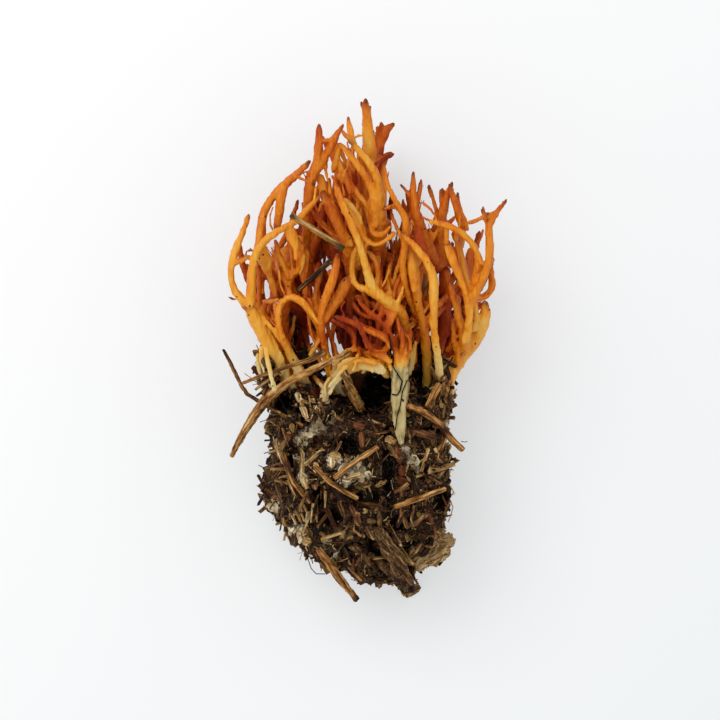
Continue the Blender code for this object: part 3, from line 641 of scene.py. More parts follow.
# Strands and webs seen one by one in the photograph. Each has how much riper it is than its row, how many
# millimetres it lies below the top branches, its widths from foot to tip and its route, in the
# photograph's pixels. One that ends under 2.6 pixels wide has a free tip, and wide ones are flat webs.
FREE_TIP_WIDTH = 2.6
FLATNESS_WIDTHS, FLATNESS = (6, 10, 24), (0.75, 0.42, 0.25)

# From this depth on, a web is narrower at its two ends and takes less of its tone
DEEP_WEB = 1.4
WEB_ENDS = (0.4, 0.3)
WEB_TONE = 0.55

TRACED_STRANDS = {
    "left_tuft": [
        (-0.14, 0, (5, 5, 4), [(276, 300), (275, 292), (274, 284), (270, 275), (264, 267), (263, 257)]),
        (-0.08, 0, (4, 3.5), [(262, 295), (263, 285), (262, 275)]),
        (-0.05, 0, (5, 5), [(262, 301), (270, 302), (280, 300)]),
        (-0.02, 0, (6, 6), [(278, 340), (272, 330), (266, 318), (263, 305)]),
        (0.0, 0, (6, 6, 5), [(284, 340), (281, 328), (277, 315), (275, 303)]),
        (0.0, 0, (5, 5, 4), [(290, 280), (285, 270), (281, 260), (278, 250)]),
        (0.0, 0, (4, 4, 3), [(295, 275), (300, 268), (304, 258), (303, 248)]),
        (0.04, 0, (3, 3), [(289, 290), (283, 280), (277, 268)]),
        (0.06, 0, (3, 3), [(293, 292), (288, 282), (281, 270)]),
        (-0.1, 0, (5, 5, 4.5), [(280, 305), (286, 299), (293, 297), (301, 299), (308, 306), (313, 315),
                                (320, 325)]),
        (0.14, 0.6, (9, 9), [(284, 302), (300, 308), (310, 320), (315, 332)]),
        (-0.16, 0, (4, 4), [(289, 340), (293, 327), (295, 315)]),
        (0.02, 0, (5, 5), [(305, 340), (303, 332), (300, 322)]),
        (-0.1, 0, (7, 6), [(305, 352), (306, 342), (305, 330)]),
        (0.1, 0, (3, 2.5), [(236, 300), (228, 297)]),
        (0.15, 0, (3, 3, 2.5), [(238, 261), (246, 258), (247, 252), (253, 250)]),
        (0.1, 0, (3, 2.5), [(247, 263), (249, 269)]),
        (-0.05, 0, (3, 3), [(273, 206), (270, 216), (270, 224), (273, 231)]),
        (0.0, 0, (3.5, 3), [(297, 178), (303, 180), (310, 184)]),
        (0.3, 2, (14, 12), [(312, 300), (310, 280), (308, 262)]),
        (0.1, 2, (12, 12), [(262, 330), (258, 315), (252, 300)]),
        (0.12, 2, (10, 10), [(290, 300), (286, 285), (284, 270)]),
        (-0.14, -5, (6, 6, 5), [(272, 388), (266, 375), (262, 360), (262, 346)]),
        (-0.2, -4, (5, 6, 4), [(274, 394), (264, 383), (259, 368), (258, 352)]),
        (-0.1, -4, (7, 7, 5), [(276, 392), (271, 374), (268, 358), (266, 346)]),
        (-0.08, 0.3, (14, 14, 12), [(283, 366), (272, 345), (262, 322)]),
        (0.0, 0.7, (6, 15, 17, 7), [(276, 296), (270, 276), (264, 258), (259, 244)]),
        (0.04, 0.6, (7, 16, 16, 6), [(290, 296), (288, 278), (286, 262), (286, 248)]),
        (0.02, 0.6, (6, 13, 15, 8), [(296, 262), (296, 248), (292, 236), (288, 226)]),
        (0.12, 0.8, (7, 15, 15, 7), [(306, 300), (304, 282), (302, 266), (304, 248)]),
        (0.06, 0.2, (4, 4, 3), [(276, 292), (280, 276), (278, 262), (272, 248)]),
        (-0.04, 0.2, (4, 4, 3), [(296, 294), (292, 280), (296, 264), (294, 252)]),
        (0.0, 0.2, (3, 3, 2), [(268, 270), (270, 258), (266, 246)]),
        (-0.06, 0, (7, 7), [(283, 376), (276, 362), (270, 350)]),
        (-0.14, 0, (13, 12, 9.5), [(301, 377), (294, 362), (287, 348)]),
        (0.12, 0, (5, 5), [(290, 372), (284, 358), (279, 345)]),
        (-0.1, 0, (5, 5, 5), [(329, 362), (327, 350), (326, 338)]),
        (-0.16, 0, (4.5, 4.5), [(309, 356), (315, 348), (321, 338)]),
    ],
    "crown": [
        (0.05, 0, (5, 5), [(322, 142), (330, 141), (336, 138)]),
        (0.34, -0.2, (5, 5.5, 4.5), [(374, 166), (384, 160), (394, 154)]),
        (0.1, 0.2, (8, 8, 6, 4), [(352, 196), (346, 182), (341, 172), (336, 160)]),
        (0.14, 0.6, (9, 9, 8, 6), [(366, 212), (360, 194), (352, 178), (344, 164)]),
        (0.2, 0.9, (9, 9, 8), [(338, 208), (330, 192), (322, 178)]),
        (0.0, 0, (3, 3), [(354, 140), (358, 137), (363, 137)]),
        (-0.05, 0, (5, 5, 4), [(355, 193), (348, 182), (342, 170), (338, 160), (336, 148)]),
        (0.08, 0, (5, 4), [(357, 195), (350, 184), (344, 172), (340, 162)]),
        (0.02, 1, (12, 11, 9), [(325, 198), (322, 185), (319, 174)]),
        (0.2, 0, (5, 3.5), [(338, 192), (335, 184), (332, 176)]),
        (0.12, 0, (3.5, 2.2), [(300, 175), (308, 172), (312, 180), (314, 186)]),
        (0.34, 2.5, (14, 14), [(360, 196), (357, 180), (355, 168)]),
        (0.18, 2, (12, 10), [(345, 198), (342, 184), (338, 172)]),
        (0.05, 2, (10, 9), [(376, 200), (372, 186), (368, 172)]),
        (0.0, 0.5, (5, 4, 2.4), [(330, 196), (329, 184), (326, 172), (327, 162)]),
        (-0.1, 0.3, (4, 3.5, 2.4), [(343, 178), (347, 168), (350, 158), (348, 150)]),
        (0.1, 0.5, (4, 3, 2.2), [(309, 200), (305, 190), (306, 180), (303, 170)]),
    ],
    "centre_tuft": [
        (-0.16, 0, (5, 7, 6, 5), [(362, 226), (358, 215), (350, 206), (342, 200)]),
        (0.16, 0, (4, 4.5, 4), [(350, 222), (345, 216), (340, 205), (338, 195), (334, 186)]),
        (-0.05, 0, (6, 6, 5), [(370, 215), (368, 208), (362, 200), (356, 192), (350, 182)]),
        (0.0, 0.5, (10, 9, 8), [(384, 228), (379, 215), (376, 200), (375, 188)]),
        (0.0, -0.3, (4, 4), [(370, 230), (374, 236), (381, 237), (387, 231), (392, 226)]),
        (-0.06, -0.3, (5, 5), [(363, 236), (367, 243), (375, 246), (383, 243), (390, 238), (395, 232)]),
        (0.05, 0, (3, 3), [(384, 210), (390, 207), (396, 206)]),
        (0.1, 0, (3, 2.5), [(396, 230), (392, 220), (390, 211)]),
        (-0.02, 0.2, (8, 8, 7), [(352, 248), (346, 236), (340, 224), (335, 212), (330, 200)]),
        (0.3, 0.3, (5, 5), [(334, 228), (330, 215), (326, 205)]),
        (0.18, 0, (5, 5, 4, 3), [(348, 246), (340, 238), (330, 233), (322, 226), (316, 217), (310, 208)]),
        (-0.12, 0, (3.5, 3), [(313, 206), (315, 198), (316, 188)]),
        (0.0, 0, (3, 3), [(325, 200), (320, 207), (318, 214)]),
        (0.06, 0.4, (7, 6), [(336, 206), (332, 196), (327, 188), (322, 180)]),
        (-0.05, 0, (2.8, 2.8), [(328, 258), (325, 249), (320, 241)]),
        (0.0, 0, (3, 3), [(318, 257), (320, 250), (319, 243)]),
        (-0.12, 0, (4, 4), [(300, 275), (303, 266), (304, 256), (301, 248)]),
        (0.1, 0, (5, 3.5), [(365, 256), (365, 250), (366, 244)]),
        (0.42, 3, (16, 16, 14), [(392, 284), (390, 268), (388, 250)]),
        (0.36, 3, (12, 12), [(378, 284), (372, 268), (366, 254)]),
        (0.3, 2, (12, 12), [(345, 275), (342, 258), (338, 244)]),
        (0.14, 2, (14, 14), [(318, 300), (314, 280), (312, 262)]),
        (0.12, 2, (12, 12), [(305, 262), (308, 245), (312, 230)]),
        (0.05, 1, (10, 10), [(300, 262), (298, 248), (300, 234)]),
        (0.1, 2, (16, 15), [(372, 245), (366, 228), (360, 212)]),
        (0.12, 2, (14, 12), [(392, 250), (390, 235), (386, 220)]),
        (0.04, 0.3, (4, 4, 3), [(312, 262), (309, 250), (309, 238), (312, 228)]),
        (0.1, 0.3, (4, 4, 3), [(325, 275), (323, 263), (325, 252), (329, 243)]),
    ],
    "lower_centre_tuft": [
        (0.06, 0.4, (8, 8, 7), [(398, 313), (385, 311), (370, 304), (355, 296)]),
        (0.2, 0, (2.8, 2.8), [(372, 317), (366, 311), (360, 304), (358, 298)]),
        (0.3, 0, (4, 4, 3.5), [(394, 348), (390, 335), (384, 325), (376, 318), (366, 318), (358, 314),
                               (353, 307), (350, 300)]),
        (0.34, 0, (3, 3), [(362, 318), (352, 316), (341, 310)]),
        (0.14, 0, (3.5, 3), [(367, 350), (365, 340), (360, 328), (355, 318)]),
        (0.08, 0, (5, 5, 4), [(354, 347), (355, 338), (352, 330), (345, 327), (336, 322), (330, 319)]),
        (-0.16, 0, (6, 6, 5), [(390, 349), (388, 342), (380, 336), (370, 332), (360, 327)]),
        (0.02, 0, (3, 3), [(371, 350), (378, 351), (386, 350)]),
        (0.08, 0.4, (14, 14, 12), [(380, 368), (378, 356), (374, 344)]),
        (0.1, 0, (5, 5, 4), [(397, 360), (395, 345), (390, 332), (384, 322)]),
        (0.0, 0, (3, 2.4), [(396, 330), (396, 324), (396, 318)]),
        (-0.05, 0, (3.5, 3), [(390, 296), (389, 285), (386, 276)]),
        (0.34, 0.5, (6, 6, 5), [(314, 302), (316, 288), (320, 275)]),
        (0.4, 0, (6, 5), [(335, 355), (333, 345), (330, 330)]),
        (0.2, 0, (3, 3), [(340, 345), (338, 338), (338, 332)]),
        (-0.16, 0, (4, 4), [(308, 350), (316, 345), (321, 337)]),
        (-0.18, 0, (6, 6), [(301, 342), (303, 348), (306, 354)]),
        (0.36, 3, (14, 14, 12), [(325, 350), (328, 330), (326, 308)]),
        (0.34, 3, (14, 14), [(345, 350), (346, 332), (344, 312)]),
        (0.3, 3, (14, 14, 12), [(368, 352), (366, 334), (360, 316)]),
        (0.28, 3, (14, 12), [(392, 352), (390, 335), (386, 318)]),
        (0.3, 3, (12, 12), [(408, 350), (408, 335), (404, 318)]),
        (0.34, 3, (14, 14, 12), [(389, 372), (389, 354), (388, 336)]),
        (0.34, 3.4, (14, 14, 12), [(398, 356), (397, 340), (397, 322)]),
        (0.34, 3, (14, 13, 10), [(415, 366), (417, 346), (420, 326)]),
        (0.34, 2.5, (12, 12), [(335, 300), (332, 285), (330, 268)]),
        (0.3, 2.5, (14, 12), [(352, 318), (350, 300), (345, 285)]),
        (0.12, 0, (5, 5, 4), [(406, 356), (404, 345), (401, 335), (398, 325), (396, 315)]),
        (0.16, 0, (4, 4), [(411, 352), (410, 342), (404, 332)]),
        (0.2, 0, (3, 3), [(430, 327), (424, 326), (418, 322), (412, 318), (405, 322)]),
        (0.1, 0, (3, 3), [(401, 306), (407, 303), (412, 300)]),
        (0.14, 0, (3, 3), [(412, 305), (417, 302), (418, 308), (420, 313)]),
        (0.2, 0, (3, 2.5), [(425, 307), (427, 310), (429, 313)]),
        (0.02, 0, (6, 5), [(392, 372), (388, 362), (380, 352)]),
        (0.06, 0, (7, 6), [(398, 372), (399, 360), (397, 350)]),
        (0.04, 0, (6, 5), [(404, 372), (407, 360), (408, 350)]),
        (0.24, 0.5, (4, 4, 3), [(330, 316), (334, 306), (338, 296), (341, 286)]),
        (0.3, 0.3, (3, 3), [(345, 318), (341, 308), (346, 300)]),
        (0.16, 0.3, (4, 3, 3), [(378, 330), (376, 322), (382, 316), (390, 318)]),
        (-0.2, 0.2, (12, 16, 15, 12, 8), [(338, 369), (349, 362), (362, 363), (375, 366), (386, 373)]),
        (-0.02, -0.5, (5, 8, 9, 8, 5), [(334, 362), (346, 355), (358, 353), (368, 356), (378, 362)]),
        (0.04, -0.5, (4, 7, 9, 9), [(364, 352), (374, 353), (384, 357), (392, 364)]),
        (0.0, -0.4, (4, 6, 6, 4), [(344, 366), (354, 361), (366, 360), (378, 364)]),
        (-0.02, -0.3, (3, 6, 6, 5), [(328, 388), (336, 378), (342, 370), (348, 364)]),
        (0.06, -0.6, (4, 4, 3), [(326, 396), (325, 386), (331, 376)]),
        (-0.2, 0.3, (10, 13, 9, 7), [(341, 370), (332, 379), (325, 389), (324, 402)]),
        (-0.1, 0, (5, 6), [(366, 352), (372, 359), (378, 364)]),
        (-0.16, -0.2, (5, 6, 4), [(343, 372), (345, 362), (350, 354)]),
        (-0.12, -0.3, (4, 5, 3), [(352, 372), (356, 363), (358, 353)]),
        (-0.18, -0.2, (5, 6, 4), [(362, 374), (366, 366), (372, 357)]),
        (-0.14, -0.3, (4, 5, 3), [(372, 373), (374, 366), (381, 358)]),
        (-0.2, -0.2, (6, 7, 5), [(329, 396), (333, 386), (341, 376)]),
        (-0.1, -0.1, (4, 4, 3), [(321, 400), (323, 388), (331, 376)]),
        (-0.2, 0, (5, 5, 4), [(392, 380), (391, 366), (390, 356)]),
        (-0.2, -0.2, (6, 6, 5), [(409, 378), (411, 362), (412, 350)]),
        (-0.05, 0, (5, 5), [(382, 354), (385, 362), (386, 370)]),
        (0.0, 0, (5, 5), [(388, 352), (389, 362), (390, 372)]),
        (0.04, -0.3, (6, 14, 17, 15), [(401, 378), (400, 370), (401, 360), (400, 350)]),
    ],
    "right_tuft": [
        (-0.02, 0, (5, 5), [(412, 220), (410, 228), (409, 236)]),
        (0.1, 0, (3.5, 3.5), [(420, 203), (425, 206), (430, 210), (434, 216), (436, 222)]),
        (0.12, 0, (2.5, 2), [(424, 207), (424, 203), (424, 199)]),
        (0.1, 0, (3.5, 2.2), [(449, 196), (449, 190), (448, 184)]),
        (0.1, 0, (4, 2.4), [(411, 200), (406, 193), (401, 187)]),
        (0.06, 0, (3, 3, 2.2), [(435, 214), (435, 207), (432, 200), (429, 194), (428, 186)]),
        (0.08, 0, (4, 4, 2.4), [(442, 212), (440, 200), (441, 189)]),
        (0.04, 0, (6, 6, 4, 2.2), [(467, 232), (464, 220), (459, 210), (455, 201), (451, 190), (449, 184)]),
        (0.02, 0, (6, 5, 3.5), [(438, 218), (442, 208), (446, 198), (448, 188)]),
        (0.1, 0, (3, 2.2), [(455, 215), (457, 205), (457, 195)]),
        (0.1, 0, (3, 3), [(422, 218), (428, 221), (434, 222)]),
        (0.0, 0, (4, 4.5, 4, 2.4), [(467, 224), (475, 221), (480, 219), (484, 217), (488, 213)]),
        (0.06, 0, (5, 5, 4, 2.4), [(486, 238), (485, 226), (483, 217), (481, 209)]),
        (0.02, 0, (4, 4), [(484, 228), (481, 236), (477, 243)]),
        (-0.06, 0, (5, 6, 6, 5.5), [(427, 222), (440, 225), (452, 229), (462, 235), (470, 242), (475, 250),
                                    (479, 258), (482, 266)]),
        (-0.1, 0, (6, 7, 7), [(466, 297), (462, 285), (457, 275), (452, 265), (448, 255), (445, 245)]),
        (-0.1, 0, (6, 6, 5), [(471, 296), (467, 282), (463, 270), (461, 260), (458, 250), (455, 240)]),
        (0.12, 0.3, (7, 7), [(468, 278), (466, 266), (468, 257), (471, 248)]),
        (0.08, 0.2, (5, 5), [(476, 274), (477, 263), (474, 254)]),
        (-0.08, 0.2, (6, 6), [(409, 290), (408, 275), (408, 262), (408, 250)]),
        (-0.06, 0.3, (8, 8), [(414, 294), (414, 280), (415, 268), (414, 256)]),
        (0.02, 0.3, (6, 6), [(423, 300), (424, 288), (423, 275), (420, 262)]),
        (-0.04, 0, (6, 6), [(474, 286), (478, 275), (480, 266), (478, 257)]),
        (0.08, 0, (4, 5, 4.5), [(489, 272), (493, 281), (493, 290), (488, 296), (481, 299), (474, 297)]),
        (-0.08, 0.2, (7, 7), [(473, 332), (476, 320), (475, 310), (473, 299)]),
        (-0.05, 0, (6, 7, 7), [(463, 344), (466, 332), (469, 322), (470, 310), (467, 300)]),
        (0.06, 0, (6, 6), [(447, 352), (453, 342), (457, 332), (458, 322), (455, 312)]),
        (0.1, 0, (3, 3), [(448, 342), (449, 336), (450, 330)]),
        (0.3, 1.2, (12, 12, 10), [(428, 264), (423, 252), (419, 240), (417, 228)]),
        (0.3, 1.2, (11, 10), [(437, 268), (433, 250), (431, 238), (431, 228)]),
        (0.22, 1, (6, 6), [(446, 294), (446, 282), (443, 272), (440, 264)]),
        (0.36, 2, (5, 5), [(438, 302), (444, 304), (451, 300)]),
        (-0.1, 1, (3, 3), [(440, 325), (446, 316), (451, 308)]),
        (0.12, 1.5, (12, 12, 10), [(459, 268), (456, 245), (453, 230)]),
        (0.08, 1.5, (10, 10), [(445, 232), (445, 218), (446, 204)]),
        (0.08, 1.5, (10, 10), [(459, 232), (459, 218), (456, 206)]),
        (0.1, 1.5, (10, 9.2), [(418, 228), (416, 212), (414, 198)]),
        (0.04, 1.5, (12, 12), [(458, 330), (458, 312), (456, 296)]),
        (0.2, 2, (12, 10), [(450, 300), (448, 284), (446, 270)]),
        (-0.1, 1, (12, 12, 10), [(466, 344), (474, 330), (479, 314)]),
        (0.16, 0.3, (11, 12, 10), [(441, 408), (445, 390), (449, 372), (455, 355)]),
        (-0.1, 0, (5, 5), [(452, 396), (453, 380), (455, 365)]),
        (-0.12, 0, (5, 5), [(412, 372), (413, 356), (416, 340)]),
        (-0.12, -0.2, (18, 24, 22, 13), [(422, 302), (422, 286), (419, 268), (412, 250)]),
        (0.1, 0.1, (6, 6, 5), [(446, 410), (452, 396), (452, 380), (448, 366)]),
        (0.02, 0, (6, 6, 6), [(446, 246), (446, 236), (446, 226)]),
        (0.04, 0, (6, 6), [(455, 242), (455, 235), (454, 229)]),
    ],
}


# Where no branch lies under a route, and how little a route dips between its neighbours
USUAL_TOP = 20 * MM
LARGEST_DIP = 0.5 * MM


def route_heights(places):
    """Heights over the top branches along a route, without sudden dips."""
    hits = [highest(branch_surface, place) for place in places]
    known = [number for number, hit in enumerate(hits) if hit]
    if not known:
        return numpy.full(len(places), USUAL_TOP)
    heights = numpy.interp(range(len(places)), known, [hits[number].z for number in known])
    for _ in range(3):
        padded = numpy.concatenate((heights[:1], heights, heights[-1:]))
        level = (padded[:-2] + padded[2:]) / 2
        heights = numpy.maximum(heights, level - LARGEST_DIP) * 0.5 + level * 0.5
    return heights


def traced_strands(form, rows, seed):
    """The strands and webs that the photograph shows, laid over the branches under them."""
    strands = []
    for tone, depth, widths, points in rows:
        places = [photo_point(x, y) for x, y in points]
        shares = numpy.linspace(0, 1, len(points))
        across = numpy.interp(shares, numpy.linspace(0, 1, len(widths)), widths) * PIXEL
        if depth > DEEP_WEB:
            across[0] *= WEB_ENDS[0]
            across[-1] *= WEB_ENDS[1]
            tone *= WEB_TONE
        flatness = numpy.interp(max(widths), FLATNESS_WIDTHS, FLATNESS)
        heights = route_heights(places) - depth * MM - across * 0.1
        route = [(place.x, place.y, height, width) for place, height, width in zip(places, heights, across)]
        piece = flat_chain("traced strand", [route], flatness)
        skin = corners(piece)
        tip = numpy.array((*places[-1].to_2d(), heights[-1]))
        free = widths[-1] < FREE_TIP_WIDTH
        write_values(piece, "to_tip", numpy.linalg.norm(skin - tip, axis=1) if free
                     else numpy.full(len(skin), FAR_FROM_TIPS))
        write_values(piece, "tone", numpy.full(len(skin), tone))
        strands.append(piece)
    return join(strands)


def fold(form, label, size, depth, guide_turn):
    """Presses folds of that size and depth into a form, turned and stretched as a guide is."""
    pattern = bpy.data.textures.new(label, "CLOUDS")
    pattern.noise_scale = size
    pattern.noise_depth = 2
    clear_selection()
    bpy.ops.object.empty_add()
    guide = bpy.context.object
    guide.matrix_world = guide_turn
    bpy.context.view_layer.update()
    apply_modifier(form, "DISPLACE", texture=pattern, texture_coords="OBJECT", texture_coords_object=guide,
                   strength=depth, mid_level=0.5)
    bpy.data.objects.remove(guide)


def wrinkle(form):
    """Swellings and lengthwise folds of the flesh."""
    fold(form, "swellings", 1.7 * MM, 0.28 * MM, Matrix.Identity(4))
    fold(form, "folds", 0.6 * MM, 0.42 * MM, Matrix.Diagonal((1, 8, 1, 1)))


def blended(piece, values, rounds):
    """Values averaged with those of the neighbouring corners, so that they change gradually."""
    ends = numpy.empty(len(piece.data.edges) * 2, numpy.int32)
    piece.data.edges.foreach_get("vertices", ends)
    one, other = ends[0::2], ends[1::2]
    count = numpy.bincount(ends, minlength=len(values))
    for _ in range(rounds):
        total = (numpy.bincount(one, values[other], len(values))
                 + numpy.bincount(other, values[one], len(values)))
        values = (values + total) / (1 + count)
    return values


def grow_tuft(name, branches, material, added_kinds, seed, voxel):
    """One tuft as one continuous skin over its CAD branches, fattened to close the gaps at its forks."""
    forms = []
    for node, tone in branches.items():
        form = welded_copy(node, node + "_form")
        if node in PRESSED_FLAT:
            level, thickness = PRESSED_FLAT[node]
            pressed = corners(form)
            pressed[:, 2] = level + (pressed[:, 2] - level) * thickness
            place_corners(form, pressed)
        to_tip = distance_to_tips(form)
        write_values(form, "to_tip", to_tip)
        write_values(form, "tone", numpy.full(len(to_tip), tone))
        forms.append(form)
    form = join(forms)
    apply_modifier(form, "SUBSURF", levels=2, render_levels=2)
    added = [
        grow(form, seed=seed + number, **settings) for number, (grow, settings) in enumerate(added_kinds)
    ]
    to_tip = read_values(form, "to_tip")
    fatness = numpy.interp(to_tip, FATTENED_AT, FATTENED_BY)
    place_corners(form, corners(form) + outward(form) * fatness[:, None])
    form = join([form, *added])
    tree = nearest_lookup(corners(form))
    to_tip, tone = read_values(form, "to_tip"), read_values(form, "tone")
    apply_modifier(form, "REMESH", mode="VOXEL", voxel_size=voxel)
    apply_modifier(form, "SMOOTH", factor=0.5, iterations=3)
    wrinkle(form)
    apply_modifier(form, "DECIMATE", ratio=FINAL_SHARE)
    keep_above_floor(form)
    skin = corners(form)
    nearest = numpy.array([tree.find(place)[1] for place in skin])
    rows = PHOTO_MIDDLE[1] - skin[:, 1] / PIXEL
    ripeness_and_shade = numpy.interp(rows, *zip(*RIPENESS_BY_ROW)) + blended(form, tone[nearest], TONE_BLENDING)
    ripeness_and_shade += TIP_RIPENESS * numpy.exp(-to_tip[nearest] / TIP_RIPE_LENGTH)
    # Painted shade: flesh low in the tuft, and flesh that faces sideways, is painted riper, darker and
    # redder
    depth = numpy.clip((DEPTH_TOP - skin[:, 2]) / DEPTH_REACH, 0, 1)
    ripeness_and_shade += numpy.interp(rows, *zip(*DEEP_PAINTED_SHADE_BY_ROW)) * depth
    ripeness_and_shade += SIDE_PAINTED_SHADE * (EVEN_FACE - outward(form)[:, 2])
    # Places painted riper or paler, partly for their own colour and partly as painted shade deep in the tuft
    for middle, reach, amount in RIPER_OR_SHADED_PLACES:
        ripeness_and_shade += amount * nearness(skin, middle, reach)
    write_values(form, "ripeness_and_shade", ripeness_and_shade)
    withered = numpy.exp(-to_tip[nearest] / TIP_DARK_LENGTH)
    for middle, reach in FRESH_TIPS:
        withered *= 1 - nearness(skin, middle, reach)
    if branches is DEEP_TUFT:
        withered = numpy.maximum(withered, numpy.clip(numpy.interp(rows, DIRTY_ROWS, (0, 1)), 0, 1))
    write_values(form, "withered", withered)
    form.data.materials.clear()
    form.data.materials.append(material)
    pick(form)
    bpy.ops.object.shade_smooth()
    form.name = form.data.name = name
    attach(form, "root")
    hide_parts(*branches)
    return form


def branch_lookups():
    """The branches seen from above as a nearest-place lookup, and their surface for finding heights."""
    places, rows, faces = [], [], []
    for node in FUNGUS:
        form = welded_copy(node, "plan_form")
        count = len(rows)
        rows.extend(corner.co.copy() for corner in form.data.vertices)
        faces.extend([number + count for number in face.vertices] for face in form.data.polygons)
        apply_modifier(form, "SUBSURF", levels=1, render_levels=1)
        places.extend(corners(form))
        bpy.data.objects.remove(form)
    return nearest_lookup([(x, y, 0) for x, y, _ in places]), BVHTree.FromPolygons(rows, faces)


def top_of_branches(place):
    """The height of the highest branch over a place, or a roof height where there is none."""
    hit = highest(branch_surface, place)
    return hit.z if hit else ROOF


fungus_plan, branch_surface = branch_lookups()
flesh = waxy_fungus("waxy_fungus_flesh")

STRANDS = {"steps": (5, 13), "widths": (0.8 * MM, 1.4 * MM), "heights": (8 * MM, 27 * MM),
           "clearance": 0.8 * MM, "tone": 0.06, "hidden": 0.3}
DEEP_STRANDS = {"steps": (6, 16), "widths": (1.5 * MM, 2.6 * MM), "heights": (4 * MM, 16 * MM),
                "first_row": 230, "hidden": 1, "flatness": 0.5}
BRUSH_STRANDS = {"steps": (5, 12), "widths": (1.2 * MM, 2.0 * MM), "heights": (6 * MM, 22 * MM),
                 "tone": 0.02, "first_row": 175, "hidden": 1, "flatness": 0.6}

# Each tuft with its branches, how many strands are added to them, and the seed of the dice
TUFTS = [("left_tuft", LEFT_TUFT, 22, 11), ("crown", CROWN, 26, 21), ("centre_tuft", CENTRE, 44, 31),
         ("lower_centre_tuft", LOWER_CENTRE, 26, 41), ("right_tuft", RIGHT_SIDE, 30, 51)]
for name, branches, strands, seed in TUFTS:
    grow_tuft(name, branches, flesh, [
        (strands_on, {"count": strands, **STRANDS}),
        (traced_strands, {"rows": TRACED_STRANDS[name]}),
    ], seed, FUNGUS_VOXEL)
grow_tuft("deep_tuft", DEEP_TUFT, flesh, [(strands_on, {"count": 130, **DEEP_STRANDS}),
                                          (strands_on, {"count": 140, **BRUSH_STRANDS})], 81, DEEP_VOXEL)


# Duff clump

DUFF_VOXEL = 0.46 * MM
DUFF_LOWEST = 0.05 * MM

# The height from which the clump is hollowed out, and that from which mycelium shows
HOLLOWED_FROM = 6 * MM
MOULD_FROM = 8 * MM

# Soil among the feet of the branches, above the clump in the photograph: middle and half-sizes,
# in the photograph's pixels across and millimetres up
FOOT_SOIL = [
    ((300, 372), 9, (22, 26), 5), ((345, 385), 8, (26, 20), 5), ((428, 368), 9, (12, 32), 5),
    ((413, 364), 9, (12, 28), 6), ((392, 380), 8, (22, 22), 5), ((290, 332), 8, (8, 20), 4),
    ((272, 376), 10, (6, 14), 4), ((439, 394), 7, (6, 17), 5), ((296, 394), 19, (20, 9), 5),
]

# Hollows in the clump, pressed in and darkened with painted shade: middle, half-sizes and, in millimetres,
# depth
HOLLOWS = [
    ((370, 395), (27, 24), 6), ((421, 376), (9, 30), 4), ((388, 468), (7, 46), 2.5),
    ((286, 404), (10, 14), 3), ((301, 413), (7, 8), 3), ((348, 450), (12, 14), 3), ((400, 522), (12, 9), 3),
    ((440, 500), (7, 14), 2.5), ((332, 396), (8, 8), 2.5), ((366, 498), (14, 9), 3),
    ((318, 495), (6, 14), 2.5), ((415, 548), (10, 9), 3), ((344, 552), (9, 9), 2.5),
    ((430, 425), (10, 7), 2), ((291, 468), (5, 24), 3), ((334, 516), (13, 9), 3), ((375, 545), (9, 9), 2.5),
    ((420, 470), (8, 8), 2),
]

# Where the clump would swell past its outline, and is pushed back: middle, reach and millimetres across
PUSHED_BACK = [((464, 384), 22, -2.2)]

# Where white mycelium shows on the clump: middle and reach in the photograph's pixels
MYCELIUM_PATCHES = [
    ((405, 449), 5), ((412, 459), 5), ((416, 467), 4), ((352, 468), 10), ((361, 474), 8), ((302, 458), 5),
    ((303, 478), 6), ((334, 460), 7), ((299, 533), 8), ((318, 427), 7), ((306, 434), 6), ((337, 555), 4),
    ((326, 541), 4), ((275, 506), 6), ((330, 418), 6), ((345, 480), 5), ((301, 440), 5), ((327, 403), 4),
    ((277, 444), 4), ((447, 425), 5),
]


def hollow_share(places):
    """How deep in a hollow each place of the clump is, from 0 to 1, which also sets its painted shade, and
    the depth in metres.
    """
    share, depth = numpy.zeros(len(places)), numpy.zeros(len(places))
    for (x, y), (half_x, half_y), deep in HOLLOWS:
        across, along = (places[:, :2] - photo_point(x, y).to_2d()).T
        out = (across / (half_x * PIXEL)) ** 2 + (along / (half_y * PIXEL)) ** 2
        here = numpy.clip(1.3 - out, 0, 1)
        share = numpy.maximum(share, here)
        depth = numpy.maximum(depth, here * deep * MM)
    return share, depth


def mould_share(places):
    """How much white mycelium covers each place of the clump, from 0 to 1."""
    share = numpy.zeros(len(places))
    for (x, y), reach in MYCELIUM_PATCHES:
        middle = photo_point(x, y)
        out = numpy.hypot(places[:, 0] - middle.x, places[:, 1] - middle.y) / (reach * PIXEL)
        share = numpy.maximum(share, numpy.clip(1.4 - out, 0, 1))
    return share


def damp_soil():
    """Crumbly soil, with painted shade that makes it nearly black in its hollows, and white mycelium in
    patches.
    """
    finish = Finish("damp_soil", Roughness=0.95, Specular_IOR_Level=0.12)
    clods = finish.noise(1.6 * MM, detail=7, roughness=0.75)
    specks = finish.noise(0.35 * MM, detail=3)
    tone = finish.sum(clods, specks, 0.7, -0.35)
    # Painted shade: the soil is darkened in its hollows
    tone = finish.sum(tone, finish.value("hollow_and_painted_shade").outputs["Fac"], -0.3)
    soil = finish.ramp(tone, [
        (0.2, "070201"), (0.38, "190C06"), (0.5, "301D10"), (0.6, "4C3520"), (0.7, "715438"),
        (0.85, "9A8058"),
    ])
    fluff = finish.noise(0.7 * MM, detail=6, roughness=0.8)
    mould = finish.sum(finish.value("mould").outputs["Fac"], fluff, 1.8, -1.0)
    shades = finish.ramp(specks, [(0.3, "7A6A50"), (0.5, "B6A88C"), (0.68, "DDD2BC")])
    finish.paint(finish.mix(finish.clamped(mould, 1.2), soil, shades))
    finish.relief(finish.sum(specks, clods, 0.6), 0.4 * MM, 0.9)
    return finish.material


